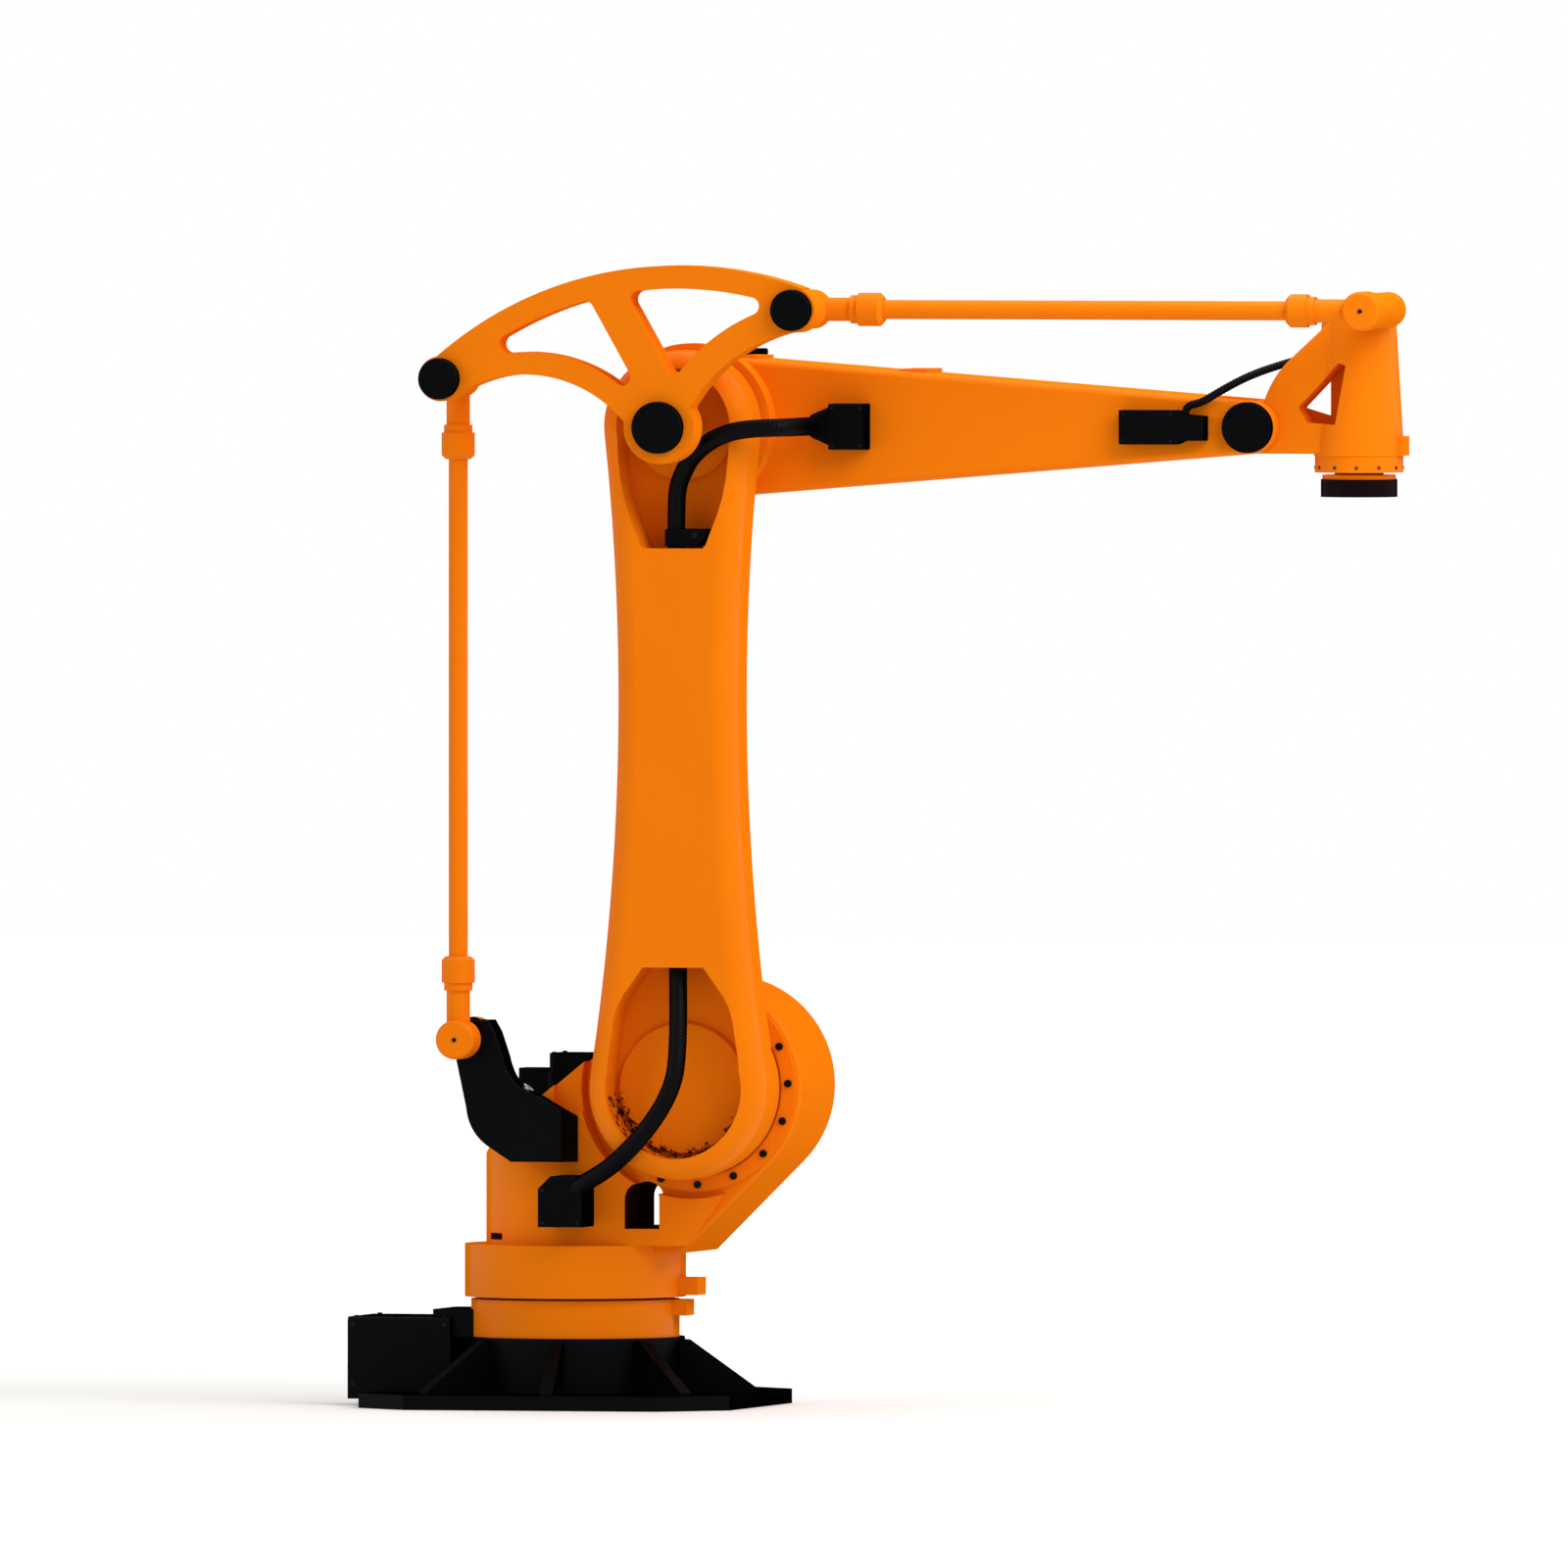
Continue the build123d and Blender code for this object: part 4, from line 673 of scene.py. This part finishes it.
# body, then rings (centre, side, circle, count, first angle, head radius), squares (centre, side, half width,
# half height, head radius) and single screws (place, axis, head radius), in metres
screwSets = {
    "carouselScrews": ("carousel", [
        *screwRing((0.280, -0.125, 0.655), "near", 0.199, 16, 2.5, 0.0078),
        *screwRing((0.280, 0.211, 0.655), "far", 0.138, 8, 22.5, 0.007),
        *screwSquare((0.280, 0.227, 0.655), "far", 0.075, 0.075, 0.007),
        *screwSquare((0.280, 0.481, 0.655), "far", 0.052, 0.052, 0.005),
        *screwSquare((-0.020, 0.125, 0.486), "up", 0.062, 0.062, 0.005),
        *screwSquare((-0.020, 0.125, 0.718), "up", 0.045, 0.045, 0.005),
        *screwSquare((0.040, -0.290, 0.414), "near", 0.037, 0.033, 0.004)]),
    "baseScrews": ("base", [
        *screwSquare((-0.344, -0.112, 0.106), "near", 0.096, 0.060, 0.005),
        *screwSquare((-0.344, 0.112, 0.106), "far", 0.096, 0.060, 0.005),
        *screwSquare((-0.345, 0.0, 0.182), "up", 0.092, 0.096, 0.005)]),
    "linkScrews": ("link_arm", [((0.322, -0.281, 1.784), (0, -1, 0), 0.006)]),
    "armScrews": ("arm", [
        *screwSquare((0.608, -0.158, 2.004), "near", 0.029, 0.038, 0.0035),
        *screwSquare((1.235, -0.140, 2.005), "near", 0.050, 0.027, 0.0035),
        *screwRing((0.280, 0.126, 2.005), "far", 0.120, 8, 22.5, 0.007),
        *screwSquare((0.280, 0.142, 2.005), "far", 0.070, 0.070, 0.007),
        *screwSquare((0.280, 0.406, 2.005), "far", 0.047, 0.047, 0.005)]),
    "wristScrews": ("wrist", collarScrews((1.646, 0.0, 1.923), 0.0895, 12, 10, 0.0035)),
    "rearRodScrew": ("rear_rod", [((-0.179, -0.302, 0.753), (0, -1, 0), 0.0045)]),
    "topRodScrew": ("top_rod", [((1.720, -0.302, 2.245), (0, -1, 0), 0.0045)]),
    "bracketBolt": ("carousel", [((-0.053, -0.195, 0.650), (0.6, 0, 0.8), 0.012)]),
}
brightScrews = ["bracketBolt"]
for name, (body, screws) in screwSets.items():
    addScrews(name, body, screws, slotMaterial["steel"] if name in brightScrews else screwSteel)
print("screws set:", sum(len(screws) for body, screws in screwSets.values()))

# Floor, backdrop light and lamps
studio = {
    "floorColour": "#F4F4F2",
    "floorSize": 80.0,
    "floorLift": {"near": 0.05, "far": 0.58, "start": 1.5, "end": 8.0},
    "skyStrength": 0.52,
    "aim": Vector((0.439, 0.0, 1.272)),
}


# 1 for the rays that should meet a white background
def cameraShare(tree):
    path = addNode(tree, "ShaderNodeLightPath").outputs
    seen = maths(tree, "MAXIMUM", path["Is Camera Ray"], path["Is Glossy Ray"])
    return maths(tree, "MAXIMUM", seen, path["Is Transmission Ray"])


def addFloor():
    half = studio["floorSize"] / 2
    mesh = bpy.data.meshes.new("studioFloor")
    mesh.from_pydata([(-half, -half, 0), (half, -half, 0), (half, half, 0), (-half, half, 0)], [], [(0, 1, 2, 3)])
    floor = bpy.data.objects.new("studioFloor", mesh)
    scene.collection.objects.link(floor)
    material, tree, shader, place = newMaterial("paleFloor", Roughness=0.9)
    shader.inputs["Base Color"].default_value = linearColour(studio["floorColour"])
    shader.inputs["Emission Color"].default_value = (1, 1, 1, 1)
    # the lamps whiten the floor near the object, so the lift comes in further out and the shadow stays
    lift = studio["floorLift"]
    away = vectorMaths(tree, "LENGTH", place).outputs["Value"]
    white = spanned(tree, away, (lift["start"], lift["end"]), (lift["near"], lift["far"]))
    linkTo(tree, maths(tree, "MULTIPLY", cameraShare(tree), white), shader.inputs["Emission Strength"])
    mesh.materials.append(material)


def addSky():
    world = bpy.data.worlds.new("softRoom")
    scene.world = world
    world.use_nodes = True
    tree = world.node_tree
    sky = tree.nodes["Background"]
    sky.inputs["Color"].default_value = (1, 1, 1, 1)
    strength = spanned(tree, cameraShare(tree), target=(studio["skyStrength"], 1.0))
    linkTo(tree, strength, sky.inputs["Strength"])


# azimuth 0 looks along +Y, as the camera's own
def fromAim(azimuth, elevation, distance):
    a, e = math.radians(azimuth), math.radians(elevation)
    return studio["aim"] + distance * Vector((math.sin(a) * math.cos(e), -math.cos(a) * math.cos(e), math.sin(e)))


def aimAtCentre(thing, place):
    thing.location = place
    thing.rotation_euler = (studio["aim"] - place).to_track_quat("-Z", "Y").to_euler()


lamps = {
    "keyPanel": {"azimuth": 58, "elevation": 38, "distance": 6.0, "size": 4.0, "watts": 190},
    "fillPanel": {"azimuth": -50, "elevation": 18, "distance": 6.5, "size": 4.0, "watts": 50},
    "topPanel": {"azimuth": 100, "elevation": 78, "distance": 5.0, "size": 3.0, "watts": 90},
    "rearPanel": {"azimuth": 200, "elevation": 30, "distance": 6.5, "size": 4.0, "watts": 70},
}


def addLamps():
    for name, lamp in lamps.items():
        light = bpy.data.lights.new(name, "AREA")
        light.shape = "DISK"
        light.size = lamp["size"]
        light.energy = lamp["watts"]
        holder = bpy.data.objects.new(name, light)
        scene.collection.objects.link(holder)
        aimAtCentre(holder, fromAim(lamp["azimuth"], lamp["elevation"], lamp["distance"]))


# a long lens from far away, because the photograph has almost no perspective
lensView = {"azimuth": 14.0, "elevation": 1.2, "distance": 140.0, "lens": 1575.0, "sensor": 36.0, "clip": 400.0}


def addCamera():
    camera = bpy.data.cameras.new("camera")
    camera.lens = lensView["lens"]
    camera.sensor_width = lensView["sensor"]
    camera.clip_end = lensView["clip"]
    holder = bpy.data.objects.new("camera", camera)
    scene.collection.objects.link(holder)
    aimAtCentre(holder, fromAim(lensView["azimuth"], lensView["elevation"], lensView["distance"]))
    scene.camera = holder


addFloor()
addSky()
addLamps()
addCamera()
scene.view_settings.view_transform = "Standard"
print("studio set")
